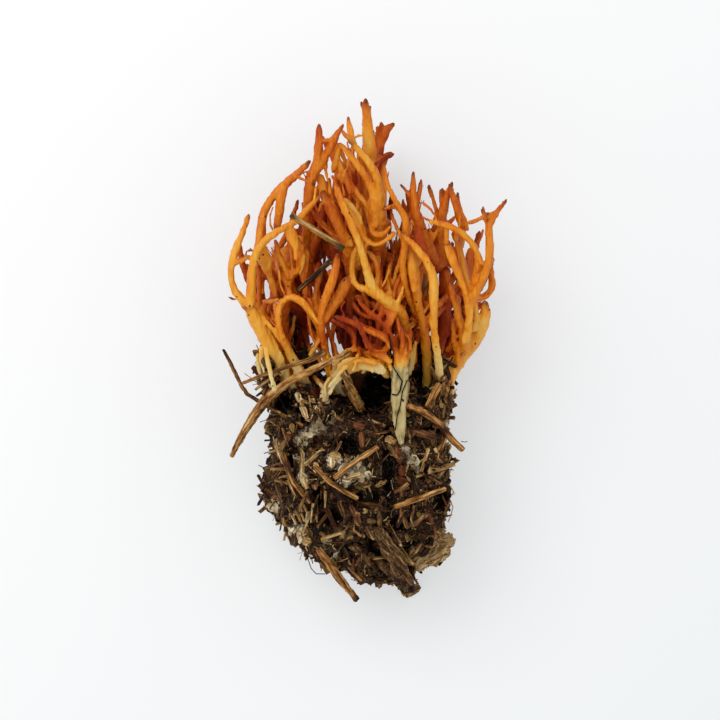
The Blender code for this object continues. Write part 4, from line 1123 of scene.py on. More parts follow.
def build_duff():
    """The clump's body: a crumbly mass over its CAD solid, with the soil that sits among the feet."""
    mass = [welded_copy("duff_clump", "duff_form")]
    for (x, y), height, (half_x, half_y), half_z in FOOT_SOIL:
        clear_selection()
        bpy.ops.mesh.primitive_ico_sphere_add(
            subdivisions=3, radius=1, location=photo_point(x, y, height * MM),
            scale=(half_x * PIXEL, half_y * PIXEL, half_z * MM))
        bpy.ops.object.transform_apply(location=True, rotation=True, scale=True)
        mass.append(bpy.context.object)
    form = join(mass)
    apply_modifier(form, "REMESH", mode="VOXEL", voxel_size=DUFF_VOXEL)
    apply_modifier(form, "SMOOTH", factor=0.5, iterations=6)
    for label, size, depth in (("clods", 3.6 * MM, 4.8 * MM), ("crumbs", 0.9 * MM, 1.6 * MM)):
        pattern = bpy.data.textures.new(label, "CLOUDS")
        pattern.noise_scale = size
        pattern.noise_depth = 3
        apply_modifier(form, "DISPLACE", texture=pattern, texture_coords="LOCAL", strength=depth,
                       mid_level=0.6)
    rows = corners(form)
    for middle, reach, push in PUSHED_BACK:
        rows[:, 0] += push * MM * nearness(rows, middle, reach)
    share, depth = hollow_share(rows)
    facing_up = numpy.clip(outward(form)[:, 2] + 0.4, 0, 1)
    pressed = rows[:, 2] - numpy.where(rows[:, 2] > HOLLOWED_FROM, depth, 0) * facing_up
    rows[:, 2] = numpy.maximum(pressed, DUFF_LOWEST)
    place_corners(form, rows)
    write_values(form, "hollow_and_painted_shade", share)
    write_values(form, "mould", mould_share(rows) * (rows[:, 2] > MOULD_FROM))
    form.name = form.data.name = "duff_mass"
    form.data.materials.append(damp_soil())
    pick(form)
    bpy.ops.object.shade_smooth()
    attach(form, "root")
    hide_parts("duff_clump")
    return form


FIBRE_THICKNESS = 0.02


def finish_shape(piece, seed, roughness):
    """Ends the modelling of a litter shape: shaken corners, then its place and size kept in its mesh."""
    bpy.ops.mesh.select_all(action="SELECT")
    bpy.ops.transform.vertex_random(offset=roughness, seed=seed)
    bpy.ops.object.mode_set(mode="OBJECT")
    bpy.ops.object.transform_apply(location=True, rotation=True, scale=True)
    return piece


def select_edges(piece, test):
    """Selects the edges whose two ends pass test, in edit mode."""
    bpy.ops.mesh.select_all(action="DESELECT")
    bpy.ops.mesh.select_mode(type="EDGE")
    mesh = bmesh.from_edit_mesh(piece.data)
    for edge in mesh.edges:
        edge.select_set(test(edge.verts[0].co, edge.verts[1].co))
    bmesh.update_edit_mesh(piece.data)


def model_stalk(name, sides, cuts, bow, pinch, seed):
    """A broken bit of needle or straw: one unit long, wide and thick, bowed and ragged at its ends."""
    clear_selection()
    bpy.ops.mesh.primitive_cylinder_add(vertices=sides, radius=0.5, depth=1, end_fill_type="NGON")
    piece = bpy.context.object
    piece.name = piece.data.name = name
    bpy.ops.object.mode_set(mode="EDIT")
    select_edges(piece, lambda one, other: abs(one.z - other.z) > 0.5)
    bpy.ops.mesh.subdivide(number_cuts=cuts)
    bpy.ops.mesh.select_mode(type="VERT")
    mesh = bmesh.from_edit_mesh(piece.data)
    for corner in mesh.verts:
        share = corner.co.z + 0.5
        corner.co.x += bow * math.sin(math.pi * share)
        corner.co.y *= 1 - pinch * share
    bmesh.update_edit_mesh(piece.data)
    finish_shape(piece, seed, 0.07)
    piece.data.transform(Matrix.Rotation(math.radians(90), 4, "Y"))
    return piece


def model_flake(name, curl, seed):
    """A thin torn flake of bark or leaf, one unit across, curled along its length."""
    clear_selection()
    bpy.ops.mesh.primitive_cylinder_add(vertices=7, radius=0.5, depth=1, end_fill_type="TRIFAN")
    piece = bpy.context.object
    piece.name = piece.data.name = name
    bpy.ops.object.mode_set(mode="EDIT")
    bpy.ops.mesh.select_all(action="SELECT")
    bpy.ops.transform.vertex_random(offset=0.13, seed=seed)
    mesh = bmesh.from_edit_mesh(piece.data)
    for corner in mesh.verts:
        corner.co.z += curl * (corner.co.y ** 2) * 4
    bmesh.update_edit_mesh(piece.data)
    bpy.ops.object.mode_set(mode="OBJECT")
    return piece


def model_crumb(name, seed):
    clear_selection()
    bpy.ops.mesh.primitive_ico_sphere_add(subdivisions=1, radius=0.5)
    piece = bpy.context.object
    piece.name = piece.data.name = name
    bpy.ops.object.mode_set(mode="EDIT")
    return finish_shape(piece, seed, 0.16)


def model_fibre(name, route):
    """A hair-thin fibre, one unit long along X."""
    piece = chain(name, [[(x, y, z, FIBRE_THICKNESS) for x, y, z in route]], sides=0)
    apply_modifier(piece, "DECIMATE", ratio=0.14)
    return piece


DRY_COLOURS = {
    "litter": [(0.0, "0A0402"), (0.18, "1E1008"), (0.34, "402712"), (0.5, "6E4A26"), (0.66, "9C753F"),
               (0.8, "C4A067"), (0.92, "E0CB9E"), (1.0, "F0E6CE")],
    "straw": [(0.0, "1C0E06"), (0.22, "4A2A10"), (0.42, "865626"), (0.6, "B27E3C"), (0.8, "D0A364"),
              (1.0, "E6C896")],
    "bark": [(0.0, "160A05"), (0.25, "3A2412"), (0.5, "70502E"), (0.72, "A2804E"), (1.0, "D2B988")],
    "root": [(0.0, "3C2A14"), (0.16, "7E6A42"), (0.4, "AE9A66"), (0.7, "C6B684"), (1.0, "DED2AA")],
}
RED_STAIN = colour("7A2E16")
OLIVE_STAIN = colour("5A5428")


def dry_plant(kind, streak, mottled):
    """Dead plant matter with its fibres along its grain. Tone makes it lighter, and stain red or olive."""
    finish = Finish(kind + "_finish", Roughness=0.72, Specular_IOR_Level=0.2)
    grain = finish.value("grain").outputs["Vector"]
    streaks = finish.noise(0.36 * MM, detail=2, stretch=(0.08, 1, 1), place=grain)
    mottle = finish.noise(1.1 * MM, detail=4, stretch=(0.6, 1, 1), place=grain)
    tone = finish.sum(finish.value("tone").outputs["Fac"], streaks, 2 * streak, -streak)
    tone = finish.sum(tone, mottle, 2 * mottled, -mottled)
    paint = finish.ramp(tone, DRY_COLOURS[kind])
    stain = finish.value("stain").outputs["Fac"]
    reddened = finish.mix(finish.clamped(stain, 0.5), paint, RED_STAIN)
    finish.paint(finish.mix(finish.clamped(stain, -0.45), reddened, OLIVE_STAIN))
    finish.relief(streaks, 0.14 * MM, 0.9)
    return finish.material


def surface_samples(piece, count, seed):
    """Random places all over a surface with the outward direction at each."""
    dice = numpy.random.default_rng(seed)
    piece.data.calc_loop_triangles()
    faces = numpy.array([triangle.vertices[:] for triangle in piece.data.loop_triangles])
    a, b, c = (corners(piece)[faces[:, side]] for side in range(3))
    across = numpy.cross(b - a, c - a)
    size = numpy.linalg.norm(across, axis=1)
    picked = dice.choice(len(faces), count, p=size / size.sum())
    u, v = dice.random((2, count, 1))
    u, v = numpy.where(u + v > 1, 1 - u, u), numpy.where(u + v > 1, 1 - v, v)
    places = a[picked] + u * (b - a)[picked] + v * (c - a)[picked]
    return places, across[picked] / size[picked][:, None]


# How many places are tried for each bit of litter, all over the ground or near given places only
TRIES_PER_BIT = 2
TRIES_PER_BIT_NEAR = 30

# The share of the litter that stays out of hollows and mycelium, and how much darker it is painted in
# hollows, as painted shade
BARE_HOLLOWS = 0.85
BARE_MOULD = 0.7
HOLLOW_SHADE = 0.25
STAINED_SHARE = 0.22
OVERHANG = 1.3 * MM
OUTLINE_REACH = 0.6 * MM


def stands_out(middle, along, length):
    """Whether a bit of litter would reach far past the clump's outline, seen from above."""
    ends = [middle + along * side * max(length / 2 - OVERHANG, 0) for side in (-1, 1)]
    return any(duff_plan.find((end.x, end.y, 0))[2] > OUTLINE_REACH for end in ends)


def lie_on(ground, count, kinds, sizes, tones, seed, tilt=0.3, upward=0.35, near=None, sink=0.2,
           even=False):
    """Spots for litter lying on the ground, each turned at random in the surface, mostly up and down the
    photograph. Sizes are the least and most length, width and thickness in millimetres. Even ones are as
    wide and thick as they are long."""
    spans = [(least * MM, most * MM) for least, most in sizes]
    dice = random.Random(seed)
    tries = TRIES_PER_BIT if near is None else TRIES_PER_BIT_NEAR
    places, directions = surface_samples(ground, count * tries, seed)
    spots = []
    hollow_and_painted_shade, mould = hollow_share(places)[0], mould_share(places)
    for place, direction, deep, mouldy in zip(places, directions, hollow_and_painted_shade, mould):
        if len(spots) == count:
            break
        if near is None and dice.random() < max(BARE_HOLLOWS * deep, BARE_MOULD * mouldy):
            continue
        if near is not None and not (direction[2] > 0.0 and is_among(Vector(place), near)):
            continue
        out = Vector(direction)
        along = Vector((dice.gauss(0, 1), dice.gauss(0, 1) * (1 + upward * 2), dice.gauss(0, 1)))
        along -= out * along.dot(out)
        along = (along.normalized() + out * dice.uniform(-tilt, tilt)).normalized()
        length, width, thickness = (dice.uniform(*span) for span in spans)
        if even:
            width = thickness = length
        if ground == duff and stands_out(Vector(place), along, length):
            continue
        side = out.cross(along).normalized()
        up = along.cross(side)
        turn = Matrix((along * length, side * width, up * thickness)).transposed()
        middle = Vector(place) + out * (0.0 if even else thickness * (0.5 - sink))
        lowest = middle.z - sum(abs(row) for row in turn[2]) * 0.5
        if lowest < 0:
            middle.z -= lowest
        if dice.random() < STAINED_SHARE:
            stain = dice.uniform(0.3, 0.9) * dice.choice((-1, 1))
        else:
            stain = dice.uniform(-0.15, 0.15)
        # Painted shade: litter in a hollow is made darker
        spots.append((dice.choice(kinds), turn, middle, dice.uniform(*tones) - HOLLOW_SHADE * deep, stain))
    return spots


def finish_litter(name, spots, material):
    """One piece of litter, with a copy of its shape at each spot."""
    piece = strew(name, litter_shapes, spots)
    keep_above_floor(piece)
    piece.data.materials.append(material)
    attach(piece, "root")
    return piece


duff = build_duff()
duff_plan = nearest_lookup([(corner.co.x, corner.co.y, 0) for corner in duff.data.vertices])
litter_shapes = [
    model_stalk("straight_bit", 6, 3, 0.0, 0.2, 1), model_stalk("bowed_bit", 6, 4, 0.14, 0.5, 2),
    model_stalk("flat_bit", 5, 3, -0.08, 0.3, 3),
    model_flake("torn_flake", 0.3, 4), model_flake("curled_flake", 0.9, 5),
    model_flake("flat_flake", -0.2, 6),
    model_crumb("round_crumb", 7), model_crumb("sharp_crumb", 8), model_crumb("long_crumb", 9),
    model_fibre("wavy_fibre", [(-0.5, 0, 0), (-0.3, 0.07, 0.03), (-0.1, 0.03, 0.08), (0.1, -0.06, 0.06),
                               (0.3, -0.03, 0.03), (0.5, 0.08, 0)]),
    model_fibre("bent_fibre", [(-0.5, 0, 0), (-0.25, -0.06, 0.04), (0, -0.08, 0.08), (0.2, 0.0, 0.07),
                               (0.38, 0.14, 0.04), (0.46, 0.3, 0)]),
]
STALKS, FLAKES, CRUMBS, FIBRES = (0, 1, 2), (3, 4, 5), (6, 7, 8), (9, 10)
litter = dry_plant("litter", 0.6, 0.36)
ground = surface_of(duff)


def ground_height(x, y):
    """The height of the clump's top at a place in the photograph, or of its nearest side beside it."""
    place = photo_point(x, y)
    hit = highest(ground, place)
    return hit.z if hit else ground.find_nearest(Vector((place.x, place.y, 16 * MM)))[0].z


# Bits seen one by one on the clump: the two ends and the width in the photograph's pixels, how light
# the bit is, and its stain, below 0 for olive and above for red
TRACED_BITS = [
    (286, 466, 294, 494, 4, 0.72, 0), (291, 478, 310, 500, 6, 0.66, 0.1), (295, 496, 304, 520, 3, 0.7, 0),
    (300, 498, 307, 511, 3, 0.6, 0), (296, 506, 302, 523, 3, 0.6, 0), (310, 503, 306, 522, 4, 0.85, 0),
    (313, 503, 311, 522, 3, 0.8, 0), (316, 512, 317, 522, 3, 0.68, 0.1), (326, 486, 325, 507, 4, 0.68, 0),
    (322, 484, 321, 499, 2, 0.5, 0.2), (269, 453, 280, 449, 3, 0.6, 0), (261, 487, 276, 499, 8, 0.3, 0.1),
    (271, 497, 283, 490, 8, 0.36, 0.2), (268, 447, 277, 445, 3, 0.5, 0), (283, 514, 285, 526, 5, 0.68, 0.2),
    (276, 515, 284, 519, 4, 0.3, 0.3), (300, 446, 303, 462, 7, 0.78, -0.5),
    (303, 460, 302, 476, 7, 0.8, -0.4), (302, 473, 307, 489, 7, 0.82, -0.2),
    (329, 453, 341, 456, 7, 0.8, -0.1), (333, 455, 332, 468, 6, 0.85, 0),
    (313, 478, 316, 489, 6, 0.62, 0.45), (321, 482, 326, 479, 4, 0.62, 0.2),
    (314, 462, 319, 466, 5, 0.7, 0.2), (369, 420, 385, 426, 4, 0.66, 0), (367, 434, 390, 431, 4, 0.42, 0),
    (353, 424, 364, 427, 8, 0.42, 0.8), (361, 431, 363, 448, 6, 0.46, 0.9),
    (386, 437, 396, 443, 8, 0.64, 0.1), (396, 445, 400, 462, 6, 0.36, 1.0),
    (402, 464, 401, 476, 7, 0.34, 1.0), (397, 478, 408, 484, 9, 0.26, 0.8),
    (394, 491, 409, 487, 4, 0.34, 0.7), (377, 466, 391, 451, 2.5, 0.4, 0),
    (374, 455, 372, 471, 2.5, 0.25, 0), (428, 449, 421, 471, 4, 0.66, 0.1),
    (434, 444, 431, 459, 5, 0.58, 0.1), (421, 472, 441, 484, 3, 0.55, 0), (429, 468, 441, 468, 2, 0.6, 0),
    (410, 430, 438, 438, 8, 0.34, 0.3), (354, 486, 373, 482, 8, 0.45, 0), (374, 486, 387, 480, 5, 0.66, 0),
    (371, 513, 378, 507, 4, 0.55, -0.7), (379, 509, 380, 527, 5, 0.5, -0.5),
    (404, 509, 396, 529, 5, 0.28, 0.2), (414, 505, 410, 526, 3, 0.55, 0),
    (417, 511, 423, 520, 5, 0.45, -0.9), (426, 511, 431, 521, 6, 0.36, 0.9),
    (354, 513, 360, 514, 6, 0.58, 0.3), (298, 529, 307, 534, 8, 0.95, 0),
    (303, 540, 312, 542, 9, 0.66, -0.3), (292, 528, 296, 537, 5, 0.2, 0), (316, 527, 325, 524, 5, 0.64, 0),
    (322, 539, 351, 528, 4, 0.62, 0), (339, 537, 356, 529, 5, 0.68, -0.1),
    (345, 539, 353, 535, 5, 0.6, 0.3), (319, 552, 336, 572, 8, 0.52, 0.2),
    (325, 552, 339, 568, 5, 0.66, 0.1), (322, 562, 328, 574, 8, 0.44, 0.3),
    (351, 563, 366, 582, 8, 0.48, -0.6), (344, 560, 351, 574, 6, 0.16, 0.1),
    (364, 518, 375, 541, 9, 0.56, 0.1), (391, 544, 408, 563, 8, 0.68, 0),
    (372, 558, 396, 580, 5, 0.46, 0.1), (407, 569, 410, 581, 2.5, 1.0, 0),
    (411, 565, 414, 581, 5, 0.22, 0.1), (397, 536, 401, 546, 3.5, 0.92, 0),
    (405, 527, 408, 541, 6, 0.58, -0.4), (403, 514, 408, 530, 5, 0.44, 0.1),
    (408, 527, 421, 530, 3, 0.66, 0), (396, 582, 411, 586, 8, 0.42, 0.1), (432, 526, 440, 533, 5, 0.62, 0),
    (446, 477, 449, 484, 7, 0.14, 0), (270, 424, 272, 446, 5, 0.3, 0), (283, 428, 289, 446, 3, 0.5, 0.1),
    (288, 480, 303, 511, 3, 0.6, 0), (287, 503, 296, 524, 4, 0.8, 0), (291, 498, 300, 521, 3, 0.76, 0),
    (294, 524, 300, 541, 4, 0.9, 0), (276, 392, 272, 412, 6, 0.42, 0), (436, 404, 441, 424, 5, 0.5, 0.1),
    (445, 396, 442, 418, 6, 0.45, 0), (420, 420, 437, 428, 4, 0.4, 0.2), (313, 399, 319, 420, 4, 0.66, 0.1),
    (309, 396, 312, 418, 3, 0.6, 0), (320, 402, 326, 417, 3, 0.55, 0.2), (297, 392, 301, 404, 6, 0.84, 0),
    (301, 402, 308, 420, 6, 0.8, 0), (330, 412, 343, 421, 4, 0.5, -0.3), (384, 548, 399, 572, 5, 0.32, 0.1),
    (378, 539, 392, 552, 6, 0.3, 0.2), (425, 470, 438, 476, 4, 0.42, 0.1),
    (362, 552, 371, 566, 5, 0.4, -0.4), (338, 498, 346, 520, 5, 0.46, 0.1),
    (350, 503, 361, 524, 6, 0.3, 0.3), (326, 508, 336, 528, 6, 0.28, 0.3), (384, 497, 372, 515, 4, 0.24, 0),
    (417, 525, 424, 545, 6, 0.2, 0.1), (342, 545, 350, 562, 6, 0.2, 0.1),
]
STALK_WIDTH = 4.5
STALK_LIFT = 0.3
STEEPEST = 0.6
BIT_THICKNESS = 0.55
FLAKE_THICKNESS = 0.4


def traced_spots(rows, seed):
    """Spots that lay each traced bit on the clump between its two ends."""
    dice = random.Random(seed)
    spots = []
    for x0, y0, x1, y1, width, tone, stain in rows:
        one = photo_point(x0, y0, ground_height(x0, y0))
        other = photo_point(x1, y1, ground_height(x1, y1))
        middle_height = max(ground_height((x0 + x1) / 2, (y0 + y1) / 2), (one.z + other.z) / 2)
        along = other - one
        steepest = STEEPEST * math.hypot(along.x, along.y)
        along.z = min(max(along.z, -steepest), steepest)
        wide = width * PIXEL
        middle = (one + other) / 2
        middle.z = middle_height + wide * STALK_LIFT
        side = Vector((0, 0, 1)).cross(along).normalized()
        up = along.cross(side).normalized()
        thick = wide * (BIT_THICKNESS if width < STALK_WIDTH else FLAKE_THICKNESS)
        turn = Matrix((along, side * wide, up * thick)).transposed()
        kinds = STALKS if width < STALK_WIDTH else (*FLAKES, 2)
        spots.append((dice.choice(kinds), turn, middle, tone, stain))
    return spots


finish_litter("traced_litter", traced_spots(TRACED_BITS, 60), litter)
finish_litter("needle_litter", (
    lie_on(duff, 140, STALKS, ((4.5, 9), (0.5, 1.1), (0.4, 0.8)), (0.24, 0.76), 61)
    + lie_on(duff, 640, STALKS, ((1.8, 5), (0.3, 0.8), (0.25, 0.6)), (0.15, 0.78), 62, tilt=0.15)
    + lie_on(duff, 1150, STALKS, ((1.2, 3.6), (0.1, 0.26), (0.1, 0.2)), (0.18, 0.78), 68, tilt=0.1, sink=0.1)
), litter)
finish_litter("bark_litter", (
    lie_on(duff, 155, FLAKES + (2,), ((3, 7), (1.1, 2.6), (0.4, 0.9)), (0.06, 0.56), 67,
           tilt=0.4, upward=0.8)
    + lie_on(duff, 720, FLAKES, ((0.9, 2.8), (0.5, 1.4), (0.2, 0.4)), (0.1, 0.72), 63)
), litter)
finish_litter("soil_crumbs", (
    lie_on(duff, 2400, CRUMBS, ((0.3, 1.1), (0.3, 0.8), (0.25, 0.7)), (0.0, 0.42), 64)
    + lie_on(duff, 210, CRUMBS, ((0.3, 0.9), (0.25, 0.6), (0.2, 0.4)), (0.5, 0.95), 65)
), litter)
finish_litter("fine_fibres", (
    lie_on(duff, 240, FIBRES, ((2.5, 8), (0, 0), (0, 0)), (0.05, 0.85), 66, tilt=0.1, even=True)
), litter)


def mycelium_finish():
    """Dry white threads of the fungus in the soil, dirty at their edges."""
    finish = Finish("mycelium_finish", Roughness=0.85, Specular_IOR_Level=0.25, Subsurface_Weight=0.1,
                    Subsurface_Scale=0.3 * MM)
    fluff = finish.noise(0.5 * MM, detail=5, roughness=0.75)
    tone = finish.sum(finish.value("tone").outputs["Fac"], fluff, 0.9, -0.45)
    finish.paint(finish.ramp(tone, [(0.0, "4A3826"), (0.3, "8C7654"), (0.55, "BCA880"), (0.8, "DECDA8"),
                                    (1.0, "F0E6CE")]))
    finish.relief(fluff, 0.2 * MM, 0.8)
    return finish.material


finish_litter("white_mycelium", (
    lie_on(duff, 170, CRUMBS, ((0.3, 1.0), (0.3, 0.8), (0.15, 0.35)), (0.3, 0.8), 71,
           near=MYCELIUM_PATCHES, sink=0.1)
    + lie_on(duff, 230, FLAKES, ((1.0, 2.8), (0.6, 1.8), (0.12, 0.3)), (0.35, 0.9), 72,
             near=MYCELIUM_PATCHES, sink=0.0, tilt=0.15)
    + lie_on(duff, 60, FIBRES, ((1.2, 3.5), (0, 0), (0, 0)), (0.5, 0.9), 73,
             near=MYCELIUM_PATCHES, even=True, tilt=0.2)
), mycelium_finish())

# Grains of soil that cling to the fungus, on each tuft
CLINGING_GRAINS = {"left_tuft": 60, "centre_tuft": 40, "lower_centre_tuft": 40, "right_tuft": 50}
GRAIN_SIZES = ((0.25, 0.6), (0.2, 0.4), (0.15, 0.3))
for number, (tuft, count) in enumerate(CLINGING_GRAINS.items()):
    grains = lie_on(bpy.data.objects[tuft], count, CRUMBS, GRAIN_SIZES, (0.0, 0.3), 90 + number)
    finish_litter("grains_on_" + tuft, grains, litter)
for shape in litter_shapes:
    bpy.data.objects.remove(shape)


# Needles, straws, bark and the root that are CAD nodes

# Each with its finish, how light it is, its stain and how deep its lengthwise folds are
DRY_PIECES = {
    "big_straw": ("straw", 0.56, 0.1, 0.22 * MM), "bent_needle": ("straw", 0.36, 0.05, 0.12 * MM),
    "olive_needle": ("straw", 0.42, -0.15, 0.14 * MM), "pale_crown_needle": ("straw", 0.54, -0.5, 0.2 * MM),
    "dark_crown_needle": ("straw", 0.2, 0.0, 0.2 * MM),
    "left_clump_needle": ("straw", 0.38, 0.05, 0.18 * MM),
    "crossed_needle_left": ("straw", 0.53, 0.1, 0.16 * MM),
    "crossed_needle_right": ("straw", 0.56, 0.1, 0.16 * MM),
    "right_clump_needle": ("straw", 0.46, 0.2, 0.16 * MM), "side_needle": ("straw", 0.5, 0.1, 0.16 * MM),
    "golden_needle": ("straw", 0.52, 0.05, 0.16 * MM), "straw_fragment": ("straw", 0.36, -0.4, 0.2 * MM),
    "right_straw": ("straw", 0.46, 0.0, 0.2 * MM), "bottom_stick": ("straw", 0.46, 0.0, 0.3 * MM),
    "loose_chip": ("bark", 0.5, -0.1, 0.3 * MM), "splinter_bundle": ("bark", 0.4, 0.1, 0.9 * MM),
    "bark_chunk": ("bark", 0.74, 0.2, 1.4 * MM), "white_root": ("root", 0.5, 0.0, 0.2 * MM),
}

# Where dry pieces are darker, in the photograph's pixels: middle, reach and how much darker
DARKENED_PLACES = [
    ((343, 249), 8, 0.4), ((357, 601), 6, 0.3), ((293, 217), 4, 0.3), ((225, 352), 8, 0.25),
    ((400, 582), 8, 0.25), ((352, 352), 6, 0.2), ((264, 410), 8, 0.2), ((444, 433), 6, 0.3),
    ((397, 412), 3, 0.4), ((404, 436), 5, 0.2),
]
DRY_VOXEL = 0.19 * MM


def lengthwise(places):
    """A piece's middle and its own long, wide and thin directions, as the rows of a turn."""
    middle = places.mean(axis=0)
    _, _, directions = numpy.linalg.svd(places - middle, full_matrices=False)
    return middle, directions


GRAIN_STEPS = 24


def along_grain(places, middle, directions):
    """Places measured along a bowed piece's own middle line and across it."""
    straight = (places - middle) @ directions.T
    steps = numpy.linspace(straight[:, 0].min(), straight[:, 0].max(), GRAIN_STEPS)
    nearest = numpy.abs(straight[:, :1] - steps).argmin(axis=1)
    count = numpy.maximum(numpy.bincount(nearest, minlength=GRAIN_STEPS), 1)
    for side in (1, 2):
        line = numpy.bincount(nearest, straight[:, side], GRAIN_STEPS) / count
        straight[:, side] -= numpy.interp(straight[:, 0], steps, line)
    return straight


# The upper ends and the lobes of the pale root and of the straw in the hollow: places in the photograph
# with heights in millimetres and widths
LOBES = {"white_root": [
    [(401, 350, 25, 13), (401, 362, 25, 19), (400, 378, 24.5, 19), (399, 396, 26.5, 17),
     (399, 415, 28.5, 15), (400, 432, 30, 11), (401, 443, 31, 4)],
    [(395, 366, 26.4, 6), (394, 384, 26.3, 6), (394, 402, 28, 6), (395, 420, 29.8, 5), (398, 436, 30.8, 4)],
    [(406, 366, 26.4, 6), (405, 384, 26.3, 7), (404, 402, 28, 6), (403, 420, 29.8, 6), (402, 436, 30.8, 4)],
], "straw_fragment": [
    [(343, 367, 28.6, 7), (345, 374, 28.4, 9), (350, 386, 28, 9.5), (356, 397, 27.6, 10),
     (363, 408, 26.8, 9)],
], "loose_chip": [
    [(405, 600, 2.4, 7), (409, 597, 2.6, 9), (416, 592, 2.6, 9), (421, 588, 2.4, 8)],
]}
LOBE_FLATNESS = 0.6


def lobes_of(node):
    """The lobes that are added to a dry piece."""
    lobes = []
    for course in LOBES[node]:
        route = [(*photo_point(x, y, height * MM), width * PIXEL) for x, y, height, width in course]
        lobes.append(flat_chain("root lobe", [route], LOBE_FLATNESS))
    return lobes


def weather(node, finish, tone, stain, depth, coarse):
    """A dry piece over its CAD solid, with rounded edges, lengthwise folds and a grain for its finish."""
    form = welded_copy(node, node + "_weathered")
    middle, directions = lengthwise(corners(form))
    if node in LOBES:
        form = join([form, *lobes_of(node)])
    apply_modifier(form, "REMESH", mode="VOXEL", voxel_size=DRY_VOXEL)
    apply_modifier(form, "SMOOTH", factor=0.5, iterations=8)
    own_directions = Matrix([Vector(row) for row in directions]).transposed().to_4x4()
    piece_turn = Matrix.Translation(middle) @ own_directions
    fold(form, "deep folds", coarse, depth * 2, piece_turn @ Matrix.Diagonal((7, 1, 1, 1)))
    fold(form, "fine folds", coarse * 0.4, depth, piece_turn @ Matrix.Diagonal((9, 1, 1, 1)))
    keep_above_floor(form)
    rows = corners(form)
    write_places(form, "grain", along_grain(rows, middle, directions))
    tones = numpy.full(len(rows), tone)
    for middle_spot, reach, darker in DARKENED_PLACES:
        tones -= darker * nearness(rows, middle_spot, reach)
    write_values(form, "tone", tones)
    write_values(form, "stain", numpy.full(len(rows), stain))
    form.data.materials.clear()
    form.data.materials.append(finish)
    pick(form)
    bpy.ops.object.shade_smooth()
    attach(form, "root")
    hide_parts(node)
    return form


finishes = {"straw": dry_plant("straw", 0.9, 0.36), "bark": dry_plant("bark", 1.0, 0.4),
            "root": dry_plant("root", 0.4, 0.34)}
for node, (kind, tone, stain, depth) in DRY_PIECES.items():
    piece = weather(node, finishes[kind], tone, stain, depth, 0.9 * MM if kind == "bark" else 0.5 * MM)


# Root hairs and threads seen one by one: how light they are, and their width and route in the photograph's
# pixels
THREADS = [
    (0.03, 1.6, [(388, 334), (390, 342), (391, 355), (393, 367), (398, 375), (402, 381), (400, 390),
                 (397, 395), (391, 394)]),
    (0.05, 1.2, [(411, 375), (406, 382), (402, 392), (400, 405), (397, 415), (395, 430)]),
    (0.1, 1.0, [(301, 549), (305, 550), (308, 562), (311, 570), (316, 575), (325, 575)]),
    (0.12, 0.8, [(260, 422), (266, 420), (272, 415)]), (0.12, 0.8, [(265, 422), (268, 427), (272, 428)]),
    (0.12, 0.8, [(461, 441), (464, 442), (467, 441)]), (0.12, 0.8, [(450, 463), (454, 464), (457, 463)]),
    (0.85, 1.1, [(391, 480), (393, 489), (387, 496)]), (0.85, 1.1, [(383, 520), (386, 519), (388, 516)]),
    (0.8, 1.2, [(350, 478), (365, 475), (376, 476)]), (0.8, 1.1, [(330, 543), (333, 547), (336, 550)]),
    (0.7, 1.1, [(308, 404), (313, 400), (319, 405), (320, 413)]),
    (0.66, 1.1, [(310, 412), (315, 406), (321, 410)]), (0.74, 1.2, [(311, 420), (314, 411), (319, 402)]),
    (0.6, 1.1, [(306, 398), (312, 396), (318, 399), (321, 407)]),
    (0.7, 1.1, [(326, 422), (329, 414), (335, 412), (336, 420)]),
    (0.6, 1.0, [(338, 436), (344, 431), (350, 434)]),
]
THREAD_STEPS = 5
THREAD_LIFT = 0.25 * MM
THREAD_LEVEL = 22 * MM


def build_threads(covers):
    """Thin dark and pale threads that lie over whatever is highest under them."""
    surfaces = [surface_of(cover) for cover in covers]
    threads = []
    for tone, width, points in THREADS:
        shares = numpy.linspace(0, len(points) - 1, (len(points) - 1) * THREAD_STEPS + 1)
        route = []
        for x, y in zip(*(numpy.interp(shares, range(len(points)), side) for side in zip(*points))):
            place = photo_point(x, y)
            hits = [highest(surface, place) for surface in surfaces]
            heights = [hit.z for hit in hits if hit]
            height = max(heights) if heights else route[-1][2] if route else THREAD_LEVEL
            route.append((place.x, place.y, height + THREAD_LIFT, width * PIXEL))
        thread = chain("thread", [route])
        write_values(thread, "tone", numpy.full(len(thread.data.vertices), tone))
        write_values(thread, "stain", numpy.zeros(len(thread.data.vertices)))
        write_places(thread, "grain", corners(thread))
        threads.append(thread)
    piece = join(threads)
    piece.name = piece.data.name = "threads_and_hairs"
    piece.data.materials.clear()
    piece.data.materials.append(litter)
    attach(piece, "root")


build_threads([duff, bpy.data.objects["lower_centre_tuft"], bpy.data.objects["centre_tuft"],
               bpy.data.objects["right_tuft"], bpy.data.objects["white_root_weathered"],
               bpy.data.objects["traced_litter"], bpy.data.objects["bark_litter"]])


# Stage

PAPER_SIZE = 3.0
# The span of the paper's painted shade, and the strength of its painted glow
PAPER_SHADE_SPAN = 0.34
PAPER_PAINTED_GLOW = 0.96
ROOM_LIGHT = 0.80
WINDOW_PLACE = (-0.45, 0.5, 0.75)
WINDOW_SIZE = 0.7
WINDOW_POWER = 3.2


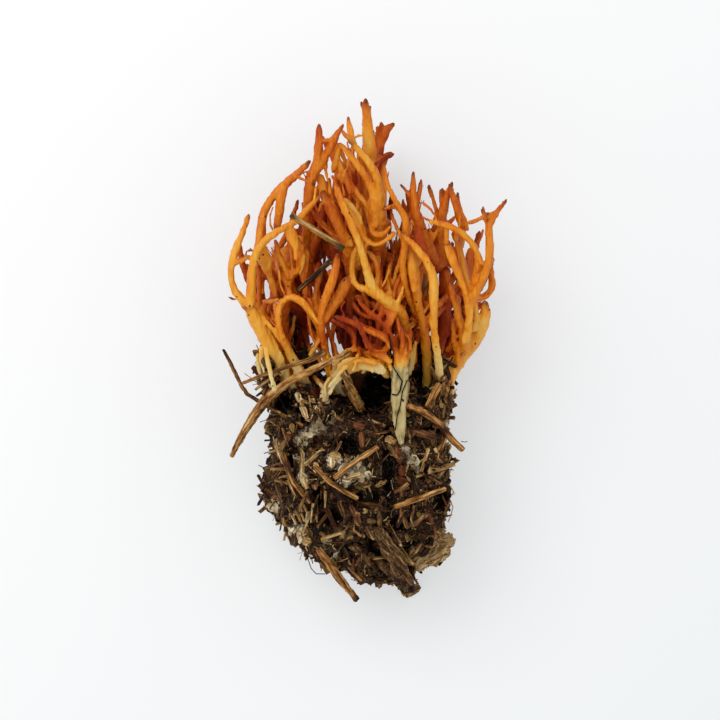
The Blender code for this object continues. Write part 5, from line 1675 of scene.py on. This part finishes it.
def paper_with_painted_light():
    """Plain paper with painted light: a painted glow that lifts its shadows and lights the object a little
    from below, and painted shade that makes it slightly greyer towards the lower right.
    """
    finish = Finish("paper_with_painted_light", Roughness=0.9, Specular_IOR_Level=0.2)
    # Painted shade: a gradient greys the paper towards the lower right
    mapping = finish.tree.nodes.new("ShaderNodeMapping")
    mapping.inputs["Location"].default_value = (0.5, 0.0, 0.0)
    mapping.inputs["Rotation"].default_value = (0.0, 0.0, math.radians(45))
    mapping.inputs["Scale"].default_value = (1 / PAPER_SHADE_SPAN, 1 / PAPER_SHADE_SPAN, 1.0)
    fade = finish.tree.nodes.new("ShaderNodeTexGradient")
    finish.link(finish.place, mapping.inputs["Vector"])
    finish.link(mapping.outputs["Vector"], fade.inputs["Vector"])
    shade = finish.sum(fade.outputs["Fac"], finish.noise(0.05, detail=1), 0.04, -0.02)
    paint = finish.ramp(shade, [(0.2, "BDBDBD"), (0.8, "B3B5B6")])
    finish.paint(paint)
    # Painted glow: the paper shines with its own colour, though it is no lamp
    finish.link(paint, finish.shader.inputs["Emission Color"])
    finish.shader.inputs["Emission Strength"].default_value = PAPER_PAINTED_GLOW
    return finish.material


def build_stage():
    clear_selection()
    bpy.ops.mesh.primitive_plane_add(size=PAPER_SIZE, location=(0, 0, 0))
    floor = bpy.context.object
    floor.name = "studio_floor"
    floor.data.materials.append(paper_with_painted_light())

    world = bpy.data.worlds.new("soft_room")
    world.use_nodes = True
    background = world.node_tree.nodes["Background"]
    background.inputs["Color"].default_value = (1.0, 1.0, 1.0, 1.0)
    background.inputs["Strength"].default_value = ROOM_LIGHT
    bpy.context.scene.world = world

    bpy.ops.object.light_add(type="AREA", location=WINDOW_PLACE)
    key = bpy.context.object
    key.name = "window_light"
    key.data.shape = "DISK"
    key.data.size = WINDOW_SIZE
    key.data.energy = WINDOW_POWER
    key.rotation_euler = (Vector((0, 0, 0)) - key.location).to_track_quat("-Z", "Y").to_euler()

    target = photo_point(PHOTO_SIDE / 2, PHOTO_SIDE / 2, OBJECT_MIDDLE_HEIGHT)
    bpy.ops.object.camera_add(location=target + Vector((0, 0, CAMERA_HEIGHT)), rotation=(0, 0, 0))
    camera = bpy.context.object
    camera.name = "camera_above"
    camera.data.sensor_width = SENSOR * 1000
    camera.data.lens = SENSOR * 1000 * CAMERA_HEIGHT / (PHOTO_SIDE * PIXEL)
    camera.data.clip_end = 10.0
    bpy.context.scene.camera = camera
    bpy.context.scene.view_settings.view_transform = "Standard"
    bpy.context.scene.view_settings.look = "None"


build_stage()

clear_selection()
